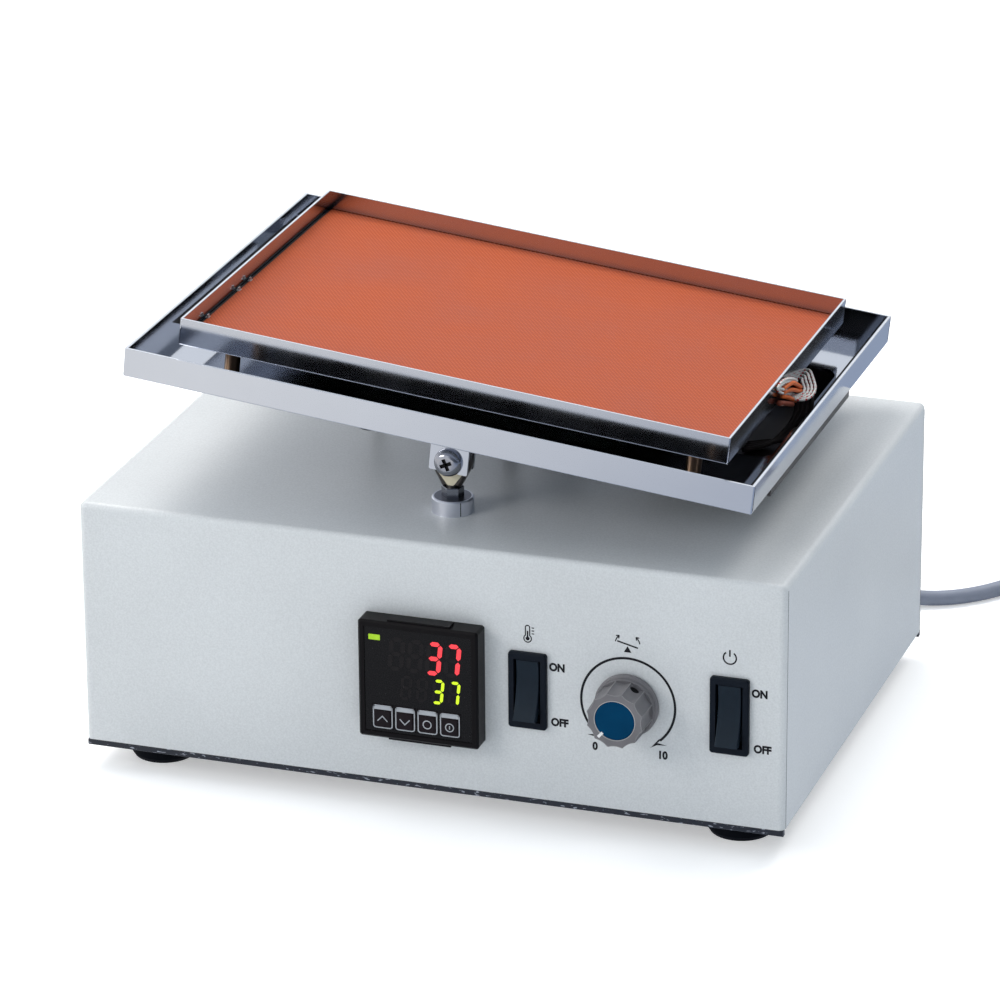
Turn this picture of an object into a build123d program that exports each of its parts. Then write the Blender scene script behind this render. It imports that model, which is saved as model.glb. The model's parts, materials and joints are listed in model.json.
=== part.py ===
"""Heated rocking mixer: a tray with a heated mat that rocks on two rod ends over a motor casing.

Millimetres, +Z up, the user stands at -Y. The origin lies on the table under the middle of the
object's box. The tray is drawn where its crank holds it at one dead centre, right side down.
"""

import os
from math import atan2, cos, pi, radians, sin, sqrt, tan

from build123d import *

os.makedirs("parts", exist_ok=True)

# Casing
CASE_W = 282.5
CASE_D = 204.4
CASE_H = 99.1
CASE_Y = 4.0  # middle of the casing: the knob in front and the fuse cap behind reach equally far
SHEET = 1.2
BEND_R = 2.5
PAN_BEND_R = 2.0
FOOT_D = 26.0
FOOT_H = 9.4
FOOT_X = 118.0
FOOT_Y = 79.0  # from the middle of the casing
PAN_DROP = 2.6  # the pan shows this far below the cover
PAN_WALL = 9.0
PAN_LIP = 5.0  # the pan's front wall is lower, as no screw goes through it
PAN_HEM = 2.5  # folded edge along the front and the rear, flush with the cover
FIT = 0.1  # slip clearance between pieces of sheet
COVER_Z = FOOT_H + PAN_DROP
CASE_TOP = COVER_Z + CASE_H
PAN_TOP = FOOT_H + SHEET
FRONT_Y = CASE_Y - CASE_D / 2
REAR_Y = CASE_Y + CASE_D / 2
VENTS, VENT_PITCH, VENT_Z = 12, 9.0, 68.0
VENT_L, VENT_W = 34.0, 3.4
COVER_SCREWS, COVER_SCREW_PITCH = 4, 84.0
COVER_SCREW_Z = COVER_Z + 3.3

# Front panel
CONTROL_X, CONTROL_Z = -0.7, 56.8
CONTROL_W = 48.0
CONTROL_CASE_W = 44.8
CONTROL_OUT = 8.5
CONTROL_FACE_W = 43.0
CONTROL_DEPTH = 62.0  # behind the panel
KEY_W, KEY_H = 8.2, 9.8
KEY_PITCH = 9.0
KEY_FIRST_X = -14.3  # from the middle of the controller
KEY_Z = -15.1
SWITCH_Z = 56.8
SWITCH_W, SWITCH_H = 15.2, 31.0
SWITCHES = {"heater": 40.6, "power": 119.9}
SWITCH_NECK_W, SWITCH_NECK_H = SWITCH_W - 2.0, SWITCH_H - 2.2
SWITCH_RIM = 2.0
ROCKER_TILT = 11.0
ROCKER_HALF = 11.9
ROCKER_W = 10.2
WELL_W, WELL_H = 10.6, 25.4
SWITCH_DEPTH = 20.0  # behind the panel
KNOB_X, KNOB_Z = 80.0, 56.2
KNOB_D = 23.2
KNOB_SKIRT_D = 24.8
KNOB_OUT = 17.0
KNOB_CAP_D = 15.6
FLUTES, FLUTE_R, FLUTE_FROM_AXIS = 12, 7.6, 17.9
FLUTE_END = 5.2  # from the panel
SET_SCREW_OUT, SET_SCREW_TURN = 7.0, 27.0  # to the right of straight up
POT_SHAFT_D = 6.0
RUNNING = 0.05  # radial clearance of a turning fit

# Rocking tray, whose heights are measured square to it from a point over the middle of the casing
TILT = 6.25
TRAY_Z = CASE_TOP + 23.1
TRAY_W, TRAY_D = 250.2, 196.0
TRAY_FLOOR = 15.7
TRAY_RIM = 11.3
TRAY_SHEET = 1.2
WINDOW_X, WINDOW_Y = 87.3, 4.0
WINDOW_W, WINDOW_D = 58.6, 102.0
HEATER_W, HEATER_D = 219.5, 162.8
HEATER_FLOOR = TRAY_FLOOR + 10.5
HEATER_RIM = 10.6
HEATER_SHEET = 1.0
MAT_GAP = 0.9  # strip of bare tray along the left wall
MAT_SLACK = 0.35
MAT_T = 2.2
STANDOFF_D = 6.0
STANDOFFS = [(x, y) for x in (-91.0, 94.4) for y in (-71.0, 71.0)]
WIRING_DEPTH = 11.0  # of the cover under the lower tray
LEADS = 4
LEAD_WIRE_D = 1.8
LEAD_STEP = 2.3
LOOP_FAR, LOOP_NEAR = 34.0, 8.0  # where the heater's leads come out and go back
LOOP_OUT = 115.6
TRAY_UP = Axis((0, 0, 0), (sin(radians(TILT)), 0, cos(radians(TILT))))

# Pivot and drive
PIVOT_X, PIVOT_Z = -1.3, CASE_TOP + 21.3
PIVOT_Y = 66.4  # from the middle of the casing
PIVOT_ACROSS = PIVOT_X * cos(radians(TILT)) - (PIVOT_Z - TRAY_Z) * sin(radians(TILT))  # on the tray
PIVOT_HEIGHT = PIVOT_X * sin(radians(TILT)) + (PIVOT_Z - TRAY_Z) * cos(radians(TILT))
COLLAR_D, COLLAR_H = 16.3, 6.1
NUT_FLATS = 7.5
NUT_H = 4.0
EYE_D, EYE_T = 16.6, 5.0
NECK_TOP, NECK_FOOT = (7.2, -4.1), (3.6, -11.0)  # slanting sides of the rod end, from its eye
BALL_D, BALL_W = 11.1, 6.0
BOLT_D = 5.0
PLATE_T = 1.5
PLATE_W = 15.4
BRACKET_DROP = 6.2
SCREW_HEAD_D, SCREW_HEAD_H = 11.2, 3.6
CROSS_L, CROSS_W, CROSS_DEEP = 4.9, 1.5, 2.2
ARM = 60.0  # from the pivot axis to the drive screw
DRIVE_Y = 16.0  # from the middle of the casing
LINK_LENGTH = 72.0
LINK_EYE_D = 14.0
CRANK_R = ARM * sin(radians(TILT))
CRANK_D, CRANK_T = 30.0, 6.0
CRANK_GAP = 0.4
OUTPUT_D = 8.0
GEARBOX_W, GEARBOX_L = 60.0, 30.0
MOTOR_L = 34.0
SLOT_L, SLOT_W = 24.0, 14.0
DRIVE_X = PIVOT_X - ARM * cos(radians(TILT))
DRIVE_DROP = 7.0
TOP_EYE_Z = PIVOT_Z + CRANK_R
LOW_EYE_Z = TOP_EYE_Z - LINK_LENGTH
CRANK_Z = PIVOT_Z - LINK_LENGTH
CRANK_FACE = DRIVE_Y + EYE_T / 2 + 2.4
BRACKET_FACE = CRANK_FACE + CRANK_T + 3.6
FORK_W = EYE_T + 1.0  # inside the clevis that the link lifts

# Flexible lead to the tray, circuit board and fuse
LEAD_X, LEAD_Y = -2.5, 6.0
LEAD_D = 7.0
BOARD_PLACE = (72.0, 36.0)
BOARD_W, BOARD_D, BOARD_T = 96.0, 66.0, 1.6
BOARD_RAISE = 8.0
FUSE_X, FUSE_Z = -112.0, 42.0
FUSE_OUT, FUSE_CAP = 9.0, 6.0

# Mains cord, resting on the table behind the right rear corner and wound up beside it
CORD_D = 6.4
GLAND_X, GLAND_Z = 107.6, 20.2
CORD_ROUTE = [
    (108.5, 123.0, 17.6),
    (109.7, 136.6, 14.0),
    (115.2, 149.0, 8.4),
    (125.5, 156.6, 3.8),
    (138.5, 161.8, 3.2),
    (150.0, 170.6, 3.2),
    (159.5, 182.6, 3.2),
    (165.6, 196.0, 3.2),
    (170.6, 208.6, 3.2),
]
COIL_PITCH = 6.9
COIL_OUTER = 48.0
COIL_TURNS = 6.5
COIL_TAIL = 24.0  # straight run that carries the plug clear of the turns
PLUG_L, PLUG_W, PLUG_BOOT = 36.0, 26.0, 14.0


def front(x, z, out=0.0):
    """Plane on the front panel whose normal points at the user."""
    return Plane(origin=(x, FRONT_Y - out, z), x_dir=(1, 0, 0), z_dir=(0, -1, 0))


def rear(x, z, out=0.0):
    """Plane on the rear wall whose normal points away from the casing."""
    return Plane(origin=(x, REAR_Y + out, z), x_dir=(-1, 0, 0), z_dir=(0, 1, 0))


def tray_point(x, y, height):
    """Place on the tilted tray, from the point over the middle of the casing."""
    slope = radians(TILT)
    return (
        x * cos(slope) + height * sin(slope),
        CASE_Y + y,
        TRAY_Z - x * sin(slope) + height * cos(slope),
    )


def tray_plane(height):
    """Plane parallel to the tray's floor."""
    slope = radians(TILT)
    across, up = (cos(slope), 0, -sin(slope)), (sin(slope), 0, cos(slope))
    return Plane(origin=tray_point(0, 0, height), x_dir=across, z_dir=up)


def tray_side(x, y, height, facing):
    """Plane across the tray that faces the front with -1 or the rear with 1."""
    slope = radians(TILT)
    across = (-facing * cos(slope), 0, facing * sin(slope))
    return Plane(origin=tray_point(x, y, height), x_dir=across, z_dir=(0, facing, 0))


def upright(x, y, z, facing):
    """Upright plane that faces the front with -1 or the rear with 1; y is from the casing's middle."""
    return Plane(origin=(x, CASE_Y + y, z), x_dir=(-facing, 0, 0), z_dir=(0, facing, 0))


def tray_across(x, y, height):
    """Plane whose normal runs along the tray, from its left to its right wall."""
    slope = radians(TILT)
    return Plane(origin=tray_point(x, y, height), x_dir=(0, 1, 0), z_dir=(cos(slope), 0, -sin(slope)))


def corner_radii(points):
    """Arc of each corner: 0.45 of the shorter run over the tangent of half the turn."""
    radii = []
    for before, corner, after in zip(points, points[1:], points[2:]):
        run_in, run_out = Vector(*corner) - Vector(*before), Vector(*after) - Vector(*corner)
        turn = radians(run_in.get_angle(run_out))
        radii.append(0.45 * min(run_in.length, run_out.length) / tan(turn / 2))
    return radii


def keep(block, name):
    """Label a finished piece and write it."""
    block.part.label = name
    export_step(block.part, f"parts/{name}.step")


# Casing: a shell cut into the pieces of sheet that it is welded from, then the pan and the feet
with BuildPart() as shell:
    with BuildSketch(Plane.XY.offset(COVER_Z)):
        with Locations((0, CASE_Y)):
            Rectangle(CASE_W, CASE_D)
    extrude(amount=CASE_H)
    fillet(shell.edges().filter_by(Axis.Z) + shell.edges().group_by(Axis.Z)[-1], radius=BEND_R)
    offset(amount=-SHEET, openings=shell.faces().sort_by(Axis.Z)[0])
    with BuildSketch(front(CONTROL_X, CONTROL_Z)):
        Rectangle(CONTROL_CASE_W + 2 * FIT, CONTROL_CASE_W + 2 * FIT)
    extrude(amount=-2 * SHEET, mode=Mode.SUBTRACT)
    with BuildSketch(front(0, SWITCH_Z)):
        with Locations(*[(x, 0) for x in SWITCHES.values()]):
            Rectangle(SWITCH_NECK_W + 2 * FIT, SWITCH_NECK_H + 2 * FIT)
    extrude(amount=-2 * SHEET, mode=Mode.SUBTRACT)
    with BuildSketch(front(KNOB_X, KNOB_Z)):
        Circle(4.6)
    extrude(amount=-2 * SHEET, mode=Mode.SUBTRACT)
    with BuildSketch(Plane.XY.offset(CASE_TOP)):
        with Locations((PIVOT_X, CASE_Y - PIVOT_Y), (PIVOT_X, CASE_Y + PIVOT_Y)):
            Circle(3.2)
        with Locations((LEAD_X, CASE_Y + LEAD_Y)):
            Circle(6.0)
        with Locations((DRIVE_X, CASE_Y + DRIVE_Y)):
            SlotOverall(SLOT_L, SLOT_W, rotation=90)
    extrude(amount=-2 * SHEET, mode=Mode.SUBTRACT)
    with BuildSketch(rear(FUSE_X, FUSE_Z)):
        Circle(6.1)
    extrude(amount=-2 * SHEET, mode=Mode.SUBTRACT)
    with BuildSketch(rear(GLAND_X, GLAND_Z)):
        Circle(5.6)
    extrude(amount=-2 * SHEET, mode=Mode.SUBTRACT)
    with BuildSketch(rear(0, VENT_Z)):
        with GridLocations(VENT_PITCH, 0, VENTS, 1):
            SlotOverall(VENT_L, VENT_W, rotation=90)
    extrude(amount=-2 * SHEET, mode=Mode.SUBTRACT)
    with BuildSketch(rear(0, COVER_SCREW_Z)):
        with GridLocations(COVER_SCREW_PITCH, 0, COVER_SCREWS, 1):
            Circle(1.6)
    extrude(amount=-2 * SHEET, mode=Mode.SUBTRACT)

flat_w, flat_d = CASE_W - 2 * BEND_R, CASE_D - 2 * BEND_R
for name, across, along, width, depth, height in (
    ("cover_top", 0, 0, flat_w, flat_d, 2 * BEND_R),
    ("cover_left", -CASE_W / 2, 0, 2 * BEND_R, CASE_D, 2 * CASE_H),
    ("cover_right", CASE_W / 2, 0, 2 * BEND_R, CASE_D, 2 * CASE_H),
    ("front_panel", 0, -CASE_D / 2, flat_w, 2 * BEND_R, 2 * CASE_H),
    ("rear_panel", 0, CASE_D / 2, flat_w, 2 * BEND_R, 2 * CASE_H),
):
    with BuildPart() as sheet_piece:
        add(shell.part)
        with Locations((across, CASE_Y + along, CASE_TOP)):
            Box(width, depth, height, mode=Mode.INTERSECT)
    keep(sheet_piece, name)

with BuildPart() as base_pan:
    with BuildSketch(Plane.XY.offset(FOOT_H)):
        with Locations((0, CASE_Y)):
            Rectangle(CASE_W - 2 * (SHEET + FIT), CASE_D - 2 * (SHEET + FIT))
    extrude(amount=PAN_WALL)
    fillet(base_pan.edges().filter_by(Axis.Z) + base_pan.edges().group_by(Axis.Z)[0], radius=PAN_BEND_R)
    offset(amount=-SHEET, openings=base_pan.faces().sort_by(Axis.Z)[-1])
    with BuildSketch(Plane.XY.offset(FOOT_H)):
        with Locations((0, CASE_Y)):
            with GridLocations(2 * FOOT_X, 2 * FOOT_Y, 2, 2):
                Circle(2.1)
    extrude(amount=2 * SHEET, mode=Mode.SUBTRACT)
    with BuildSketch(front(0, FOOT_H + PAN_LIP)):
        Rectangle(CASE_W - 12 * SHEET, PAN_WALL, align=(Align.CENTER, Align.MIN))
    extrude(amount=-3 * SHEET, mode=Mode.SUBTRACT)
    with BuildSketch(Plane.XY.offset(FOOT_H)):
        with Locations((0, CASE_Y)):
            Rectangle(CASE_W - 0.8, CASE_D - 0.4)
            Rectangle(CASE_W, CASE_D - 2 * PAN_HEM, mode=Mode.SUBTRACT)
    extrude(amount=PAN_DROP - FIT)
    outer_edges = base_pan.edges().filter_by(Axis.X).group_by(Axis.Y)
    fillet(outer_edges[0] + outer_edges[-1], radius=0.5)
    with BuildSketch(rear(0, COVER_SCREW_Z)):
        with GridLocations(COVER_SCREW_PITCH, 0, COVER_SCREWS, 1):
            Circle(1.3)
    extrude(amount=-4 * SHEET, mode=Mode.SUBTRACT)
    with BuildSketch(rear(GLAND_X, GLAND_Z)):
        Circle(6.2)
    extrude(amount=-4 * SHEET, mode=Mode.SUBTRACT)
keep(base_pan, "base_pan")

for side, across in (("left", -1), ("right", 1)):
    for end, along in (("front", -1), ("rear", 1)):
        with BuildPart() as foot:
            with BuildSketch(Plane.XY):
                with Locations((across * FOOT_X, CASE_Y + along * FOOT_Y)):
                    Circle(FOOT_D / 2)
            extrude(amount=FOOT_H)
            chamfer(foot.edges().group_by(Axis.Z)[0], length=1.6, length2=1.0)
            with BuildSketch(Plane.XY):
                with Locations((across * FOOT_X, CASE_Y + along * FOOT_Y)):
                    Circle(5.5)
            extrude(amount=5.0, mode=Mode.SUBTRACT)
            with BuildSketch(Plane.XY):
                with Locations((across * FOOT_X, CASE_Y + along * FOOT_Y)):
                    Circle(2.1)
            extrude(amount=FOOT_H, mode=Mode.SUBTRACT)
        keep(foot, f"foot_{end}_{side}")

with BuildPart() as casing_screws:
    with BuildSketch(Plane.XY.offset(2.4)):
        with Locations((0, CASE_Y)):
            with GridLocations(2 * FOOT_X, 2 * FOOT_Y, 2, 2):
                Circle(4.0)
    extrude(amount=2.6)
    with BuildSketch(Plane.XY.offset(5.0)):
        with Locations((0, CASE_Y)):
            with GridLocations(2 * FOOT_X, 2 * FOOT_Y, 2, 2):
                Circle(2.0)
    extrude(amount=9.0)
    with BuildSketch(rear(0, COVER_SCREW_Z)):
        with GridLocations(COVER_SCREW_PITCH, 0, COVER_SCREWS, 1):
            Circle(2.9)
    extrude(amount=1.8)
    chamfer(casing_screws.edges().group_by(Axis.Y)[-1], length=0.6)
    with BuildSketch(rear(0, COVER_SCREW_Z)):
        with GridLocations(COVER_SCREW_PITCH, 0, COVER_SCREWS, 1):
            Circle(1.2)
    extrude(amount=-6.0)
keep(casing_screws, "casing_screws")

# Temperature controller
with BuildPart() as controller_case:
    with BuildSketch(front(CONTROL_X, CONTROL_Z)):
        RectangleRounded(CONTROL_CASE_W, CONTROL_CASE_W, 1.0)
    extrude(amount=-CONTROL_DEPTH)
    with BuildSketch(front(CONTROL_X, CONTROL_Z, -CONTROL_DEPTH)):
        with GridLocations(9.0, 26.0, 4, 2):
            Rectangle(6.0, 7.0)
    extrude(amount=3.0, mode=Mode.SUBTRACT)
keep(controller_case, "controller_case")

with BuildPart() as controller_bezel:
    with BuildSketch(front(CONTROL_X, CONTROL_Z)):
        RectangleRounded(CONTROL_W, CONTROL_W, 1.2)
    extrude(amount=CONTROL_OUT)
    chamfer(controller_bezel.edges().group_by(Axis.Y)[0], length=0.8)
    with BuildSketch(front(CONTROL_X, CONTROL_Z)):
        Rectangle(CONTROL_FACE_W, CONTROL_FACE_W)
    extrude(amount=CONTROL_OUT, mode=Mode.SUBTRACT)
    with BuildSketch(front(CONTROL_X, CONTROL_Z, 2.0)):
        with Locations((0, CONTROL_W / 2 + 0.4), (0, -CONTROL_W / 2 - 0.4)):
            Rectangle(25.0, 0.8)
    extrude(amount=CONTROL_OUT - 3.2)
keep(controller_bezel, "controller_bezel")

with BuildPart() as controller_window:
    with BuildSketch(front(CONTROL_X, CONTROL_Z, CONTROL_OUT - 1.6)):
        Rectangle(CONTROL_FACE_W - FIT, CONTROL_FACE_W - FIT)
        for key in range(4):
            with Locations((KEY_FIRST_X + key * KEY_PITCH, KEY_Z)):
                Rectangle(KEY_W + 2 * FIT, KEY_H + 2 * FIT, mode=Mode.SUBTRACT)
    extrude(amount=1.2)
keep(controller_window, "controller_window")

for key, name in enumerate(("key_up", "key_down", "key_mode", "key_output")):
    with BuildPart() as button:
        with BuildSketch(front(CONTROL_X + KEY_FIRST_X + key * KEY_PITCH, CONTROL_Z + KEY_Z, 3.2)):
            RectangleRounded(KEY_W, KEY_H, 0.6)
        extrude(amount=CONTROL_OUT - 3.2)
        chamfer(button.edges().group_by(Axis.Y)[0], length=0.25)
        with BuildSketch(front(CONTROL_X + KEY_FIRST_X + key * KEY_PITCH, CONTROL_Z + KEY_Z, 0.8)):
            Circle(2.0)
        extrude(amount=2.4)
    keep(button, name)

with BuildPart() as controller_clamp:
    with BuildSketch(front(CONTROL_X, CONTROL_Z, -SHEET)):
        Rectangle(CONTROL_W + 6.0, CONTROL_W + 6.0)
        Rectangle(CONTROL_CASE_W + 2 * FIT, CONTROL_CASE_W + 2 * FIT, mode=Mode.SUBTRACT)
    extrude(amount=-9.0)
    fillet(controller_clamp.edges().filter_by(Axis.Y), radius=1.0)
keep(controller_clamp, "controller_clamp")

# Switches, with the top of each rocker pressed in
for name, place in SWITCHES.items():
    with BuildPart() as switch_body:
        with BuildSketch(front(place, SWITCH_Z)):
            RectangleRounded(SWITCH_W, SWITCH_H, 1.2)
        extrude(amount=SWITCH_RIM)
        fillet(switch_body.edges().group_by(Axis.Y)[0], radius=0.7)
        with BuildSketch(front(place, SWITCH_Z)):
            Rectangle(SWITCH_NECK_W, SWITCH_NECK_H)
        extrude(amount=-SWITCH_DEPTH)
        with BuildSketch(front(place, SWITCH_Z, SWITCH_RIM)):
            Rectangle(WELL_W, WELL_H)
        extrude(amount=-SWITCH_RIM - 4.5, mode=Mode.SUBTRACT)
        with BuildSketch(Plane(origin=(place, FRONT_Y, SWITCH_Z), x_dir=(0, 1, 0), z_dir=(1, 0, 0))):
            Circle(1.2 + RUNNING)
        extrude(amount=ROCKER_W / 2 + 1.0, both=True, mode=Mode.SUBTRACT)
        with BuildSketch(front(place, SWITCH_Z, -SWITCH_DEPTH)):
            with GridLocations(0, 9.0, 1, 3):
                Rectangle(6.3, 0.8)
        extrude(amount=-8.0)
    keep(switch_body, f"{name}_switch_body")

    lean = radians(ROCKER_TILT)
    face = Plane(origin=(place, FRONT_Y, SWITCH_Z), x_dir=(0, sin(lean), cos(lean)), z_dir=(1, 0, 0))
    with BuildPart() as rocker:
        with BuildSketch(face):
            with BuildLine():
                Polyline(
                    (-ROCKER_HALF, 4.0),
                    (0, 1.7),
                    (ROCKER_HALF, 4.0),
                    (ROCKER_HALF, 1.2),
                    (4.5, -2.2),
                    (-4.5, -2.2),
                    (-ROCKER_HALF, 1.2),
                    close=True,
                )
            make_face()
        extrude(amount=ROCKER_W / 2, both=True)
        fillet(rocker.edges().filter_by(Axis.X).group_by(Axis.Y)[0], radius=0.5)
        with BuildSketch(face):
            Circle(1.2)
        extrude(amount=ROCKER_W / 2 + 0.8, both=True)
    keep(rocker, f"{name}_rocker")

# Speed control and its knob, with the pointer at the low end
with BuildPart() as speed_pot_body:
    with BuildSketch(front(KNOB_X, KNOB_Z, -SHEET)):
        Circle(8.2)
    extrude(amount=-9.0)
    with BuildSketch(front(KNOB_X, KNOB_Z, -SHEET)):
        Circle(4.5)
    extrude(amount=SHEET + 5.0)
    with BuildSketch(front(KNOB_X, KNOB_Z, 5.0)):
        Circle(POT_SHAFT_D / 2 + RUNNING)
    extrude(amount=-SHEET - 12.0, mode=Mode.SUBTRACT)
keep(speed_pot_body, "speed_pot_body")

with BuildPart() as speed_pot_nut:
    with BuildSketch(front(KNOB_X, KNOB_Z)):
        RegularPolygon(6.0, 6, major_radius=False)
        Circle(4.5, mode=Mode.SUBTRACT)
    extrude(amount=2.5)
keep(speed_pot_nut, "speed_pot_nut")

with BuildPart() as pot_shaft:
    with BuildSketch(front(KNOB_X, KNOB_Z, -7.5)):
        Circle(POT_SHAFT_D / 2)
    extrude(amount=7.5 + 13.0)
keep(pot_shaft, "pot_shaft")

with BuildPart() as speed_knob:
    with BuildSketch(front(KNOB_X, KNOB_Z, 0.8)):
        Circle(KNOB_SKIRT_D / 2)
    extrude(amount=2.4)
    chamfer(speed_knob.edges().group_by(Axis.Y)[0], length=0.6)
    with BuildSketch(front(KNOB_X, KNOB_Z, 3.2)):
        Circle(KNOB_D / 2)
    extrude(amount=KNOB_OUT - 3.2, taper=2.0)
    with BuildSketch(front(KNOB_X, KNOB_Z, KNOB_OUT)):
        with PolarLocations(FLUTE_FROM_AXIS, FLUTES, start_angle=90 - SET_SCREW_TURN - 2.0):
            Circle(FLUTE_R)
    extrude(amount=FLUTE_END - KNOB_OUT, mode=Mode.SUBTRACT)
    with BuildSketch(front(KNOB_X, KNOB_Z, KNOB_OUT)):
        Circle(KNOB_CAP_D / 2)
    extrude(amount=-1.4, mode=Mode.SUBTRACT)
    with BuildSketch(front(KNOB_X, KNOB_Z)):
        Circle(7.6)
    extrude(amount=6.2, mode=Mode.SUBTRACT)
    with BuildSketch(front(KNOB_X, KNOB_Z)):
        Circle(POT_SHAFT_D / 2)
    extrude(amount=13.0, mode=Mode.SUBTRACT)
    set_screw_way = (sin(radians(SET_SCREW_TURN)), 0, cos(radians(SET_SCREW_TURN)))
    set_screw_start = (KNOB_X, FRONT_Y - SET_SCREW_OUT, KNOB_Z)
    with BuildSketch(Plane(origin=set_screw_start, x_dir=(0, 1, 0), z_dir=set_screw_way)):
        Circle(2.0)
    extrude(amount=KNOB_D, mode=Mode.SUBTRACT)
keep(speed_knob, "speed_knob")

with BuildPart() as knob_cap:
    with BuildSketch(front(KNOB_X, KNOB_Z, KNOB_OUT - 1.4)):
        Circle(KNOB_CAP_D / 2)
    extrude(amount=1.4)
    chamfer(knob_cap.edges().group_by(Axis.Y)[0], length=0.3)
keep(knob_cap, "knob_cap")

# Pivots: collar, nuts and rod end on the casing; clevis, ball, screw and lock nut under the tray
PIVOTS = [(PIVOT_X, CASE_Y - PIVOT_Y), (PIVOT_X, CASE_Y + PIVOT_Y)]

with BuildPart() as pivot_collars:
    with BuildSketch(Plane.XY.offset(CASE_TOP)):
        with Locations(*PIVOTS):
            Circle(COLLAR_D / 2)
            Circle(3.0, mode=Mode.SUBTRACT)
    extrude(amount=COLLAR_H)
    chamfer(pivot_collars.edges().group_by(Axis.Z)[-1].group_by(SortBy.LENGTH)[-1], length=0.5)
keep(pivot_collars, "pivot_collars")

with BuildPart() as rod_ends:
    for facing in (-1, 1):
        with BuildSketch(upright(PIVOT_X, facing * PIVOT_Y, PIVOT_Z, facing)):
            Circle(EYE_D / 2)
            (wide, shoulder), (narrow, foot_z) = NECK_TOP, NECK_FOOT
            Polygon((-wide, shoulder), (wide, shoulder), (narrow, foot_z), (-narrow, foot_z), align=None)
        extrude(amount=EYE_T / 2, both=True)
    flats = [face for face in rod_ends.faces() if abs(face.normal_at().Y) > 0.99]
    chamfer([edge for face in flats for edge in face.outer_wire().edges()], length=1.0)
    with BuildSketch(Plane.XY.offset(CASE_TOP - 8.0)):
        with Locations(*PIVOTS):
            Circle(BOLT_D / 2)
    extrude(amount=PIVOT_Z + NECK_FOOT[1] + 1.0 - CASE_TOP + 8.0)
    with Locations(*[(x, y, PIVOT_Z) for x, y in PIVOTS]):
        Sphere(BALL_D / 2 + RUNNING, mode=Mode.SUBTRACT)
keep(rod_ends, "rod_ends")

with BuildPart() as pivot_brackets:
    for facing in (-1, 1):
        with BuildSketch(tray_across(PIVOT_ACROSS, facing * PIVOT_Y, 0)):
            with Locations((0, (TRAY_FLOOR - BRACKET_DROP) / 2)):
                Rectangle(BALL_W + 2 * PLATE_T, TRAY_FLOOR + BRACKET_DROP)
            with Locations((0, (TRAY_FLOOR - BRACKET_DROP) / 2 - PLATE_T)):
                Rectangle(BALL_W, TRAY_FLOOR + BRACKET_DROP, mode=Mode.SUBTRACT)
        extrude(amount=PLATE_W / 2, both=True)
    fillet(pivot_brackets.edges().filter_by(Axis.Y).group_by(TRAY_UP)[0], radius=0.6)
    for facing in (-1, 1):
        with BuildSketch(tray_side(PIVOT_ACROSS, facing * PIVOT_Y, PIVOT_HEIGHT, facing)):
            Circle(BOLT_D / 2)
        extrude(amount=BALL_W, both=True, mode=Mode.SUBTRACT)
keep(pivot_brackets, "pivot_brackets")

with BuildPart() as rod_end_nuts:
    for height in (CASE_TOP + COLLAR_H, CASE_TOP - SHEET - NUT_H):
        with BuildSketch(Plane.XY.offset(height)):
            with Locations(*PIVOTS):
                RegularPolygon(NUT_FLATS / 2, 6, major_radius=False, rotation=18)
        extrude(amount=NUT_H)
        if height > CASE_TOP:
            chamfer(rod_end_nuts.edges().group_by(Axis.Z)[-1], length=0.3)
        with BuildSketch(Plane.XY.offset(height)):
            with Locations(*PIVOTS):
                Circle(BOLT_D / 2)
        extrude(amount=NUT_H, mode=Mode.SUBTRACT)
keep(rod_end_nuts, "rod_end_nuts")

with BuildPart() as pivot_balls:
    with Locations(*[(x, y, PIVOT_Z) for x, y in PIVOTS]):
        Sphere(BALL_D / 2)
    for facing in (-1, 1):
        for face in (-1, 1):
            with BuildSketch(upright(PIVOT_X, facing * PIVOT_Y + face * BALL_W / 2, PIVOT_Z, face)):
                Circle(BALL_D)
            extrude(amount=BALL_D, mode=Mode.SUBTRACT)
        with BuildSketch(upright(PIVOT_X, facing * PIVOT_Y, PIVOT_Z, facing)):
            Circle(BOLT_D / 2)
        extrude(amount=BALL_W, both=True, mode=Mode.SUBTRACT)
keep(pivot_balls, "pivot_balls")

with BuildPart() as pivot_screws:
    for facing in (-1, 1):
        seat = PIVOT_Y + BALL_W / 2 + PLATE_T
        with BuildSketch(tray_side(PIVOT_ACROSS, facing * seat, PIVOT_HEIGHT, facing)):
            Circle(SCREW_HEAD_D / 2)
        extrude(amount=SCREW_HEAD_H)
        rims = pivot_screws.edges().filter_by(GeomType.CIRCLE).group_by(Axis.Y)
        fillet(rims[0] if facing < 0 else rims[-1], radius=3.2)
        with BuildSketch(tray_side(PIVOT_ACROSS, facing * (seat + SCREW_HEAD_H), PIVOT_HEIGHT, facing)):
            Rectangle(CROSS_L, CROSS_W, rotation=30.0)
            Rectangle(CROSS_W, CROSS_L, rotation=30.0)
        extrude(amount=-CROSS_DEEP, taper=12.0, mode=Mode.SUBTRACT)
        with BuildSketch(tray_side(PIVOT_ACROSS, facing * seat, PIVOT_HEIGHT, facing)):
            Circle(BOLT_D / 2)
        extrude(amount=-BALL_W - 2 * PLATE_T - 5.0)
keep(pivot_screws, "pivot_screws")

with BuildPart() as pivot_lock_nuts:
    for facing in (-1, 1):
        inner = PIVOT_Y - BALL_W / 2 - PLATE_T
        with BuildSketch(tray_side(PIVOT_ACROSS, facing * inner, PIVOT_HEIGHT, facing)):
            RegularPolygon(4.0, 6, major_radius=False)
            Circle(BOLT_D / 2, mode=Mode.SUBTRACT)
        extrude(amount=-4.2)
keep(pivot_lock_nuts, "pivot_lock_nuts")

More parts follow.
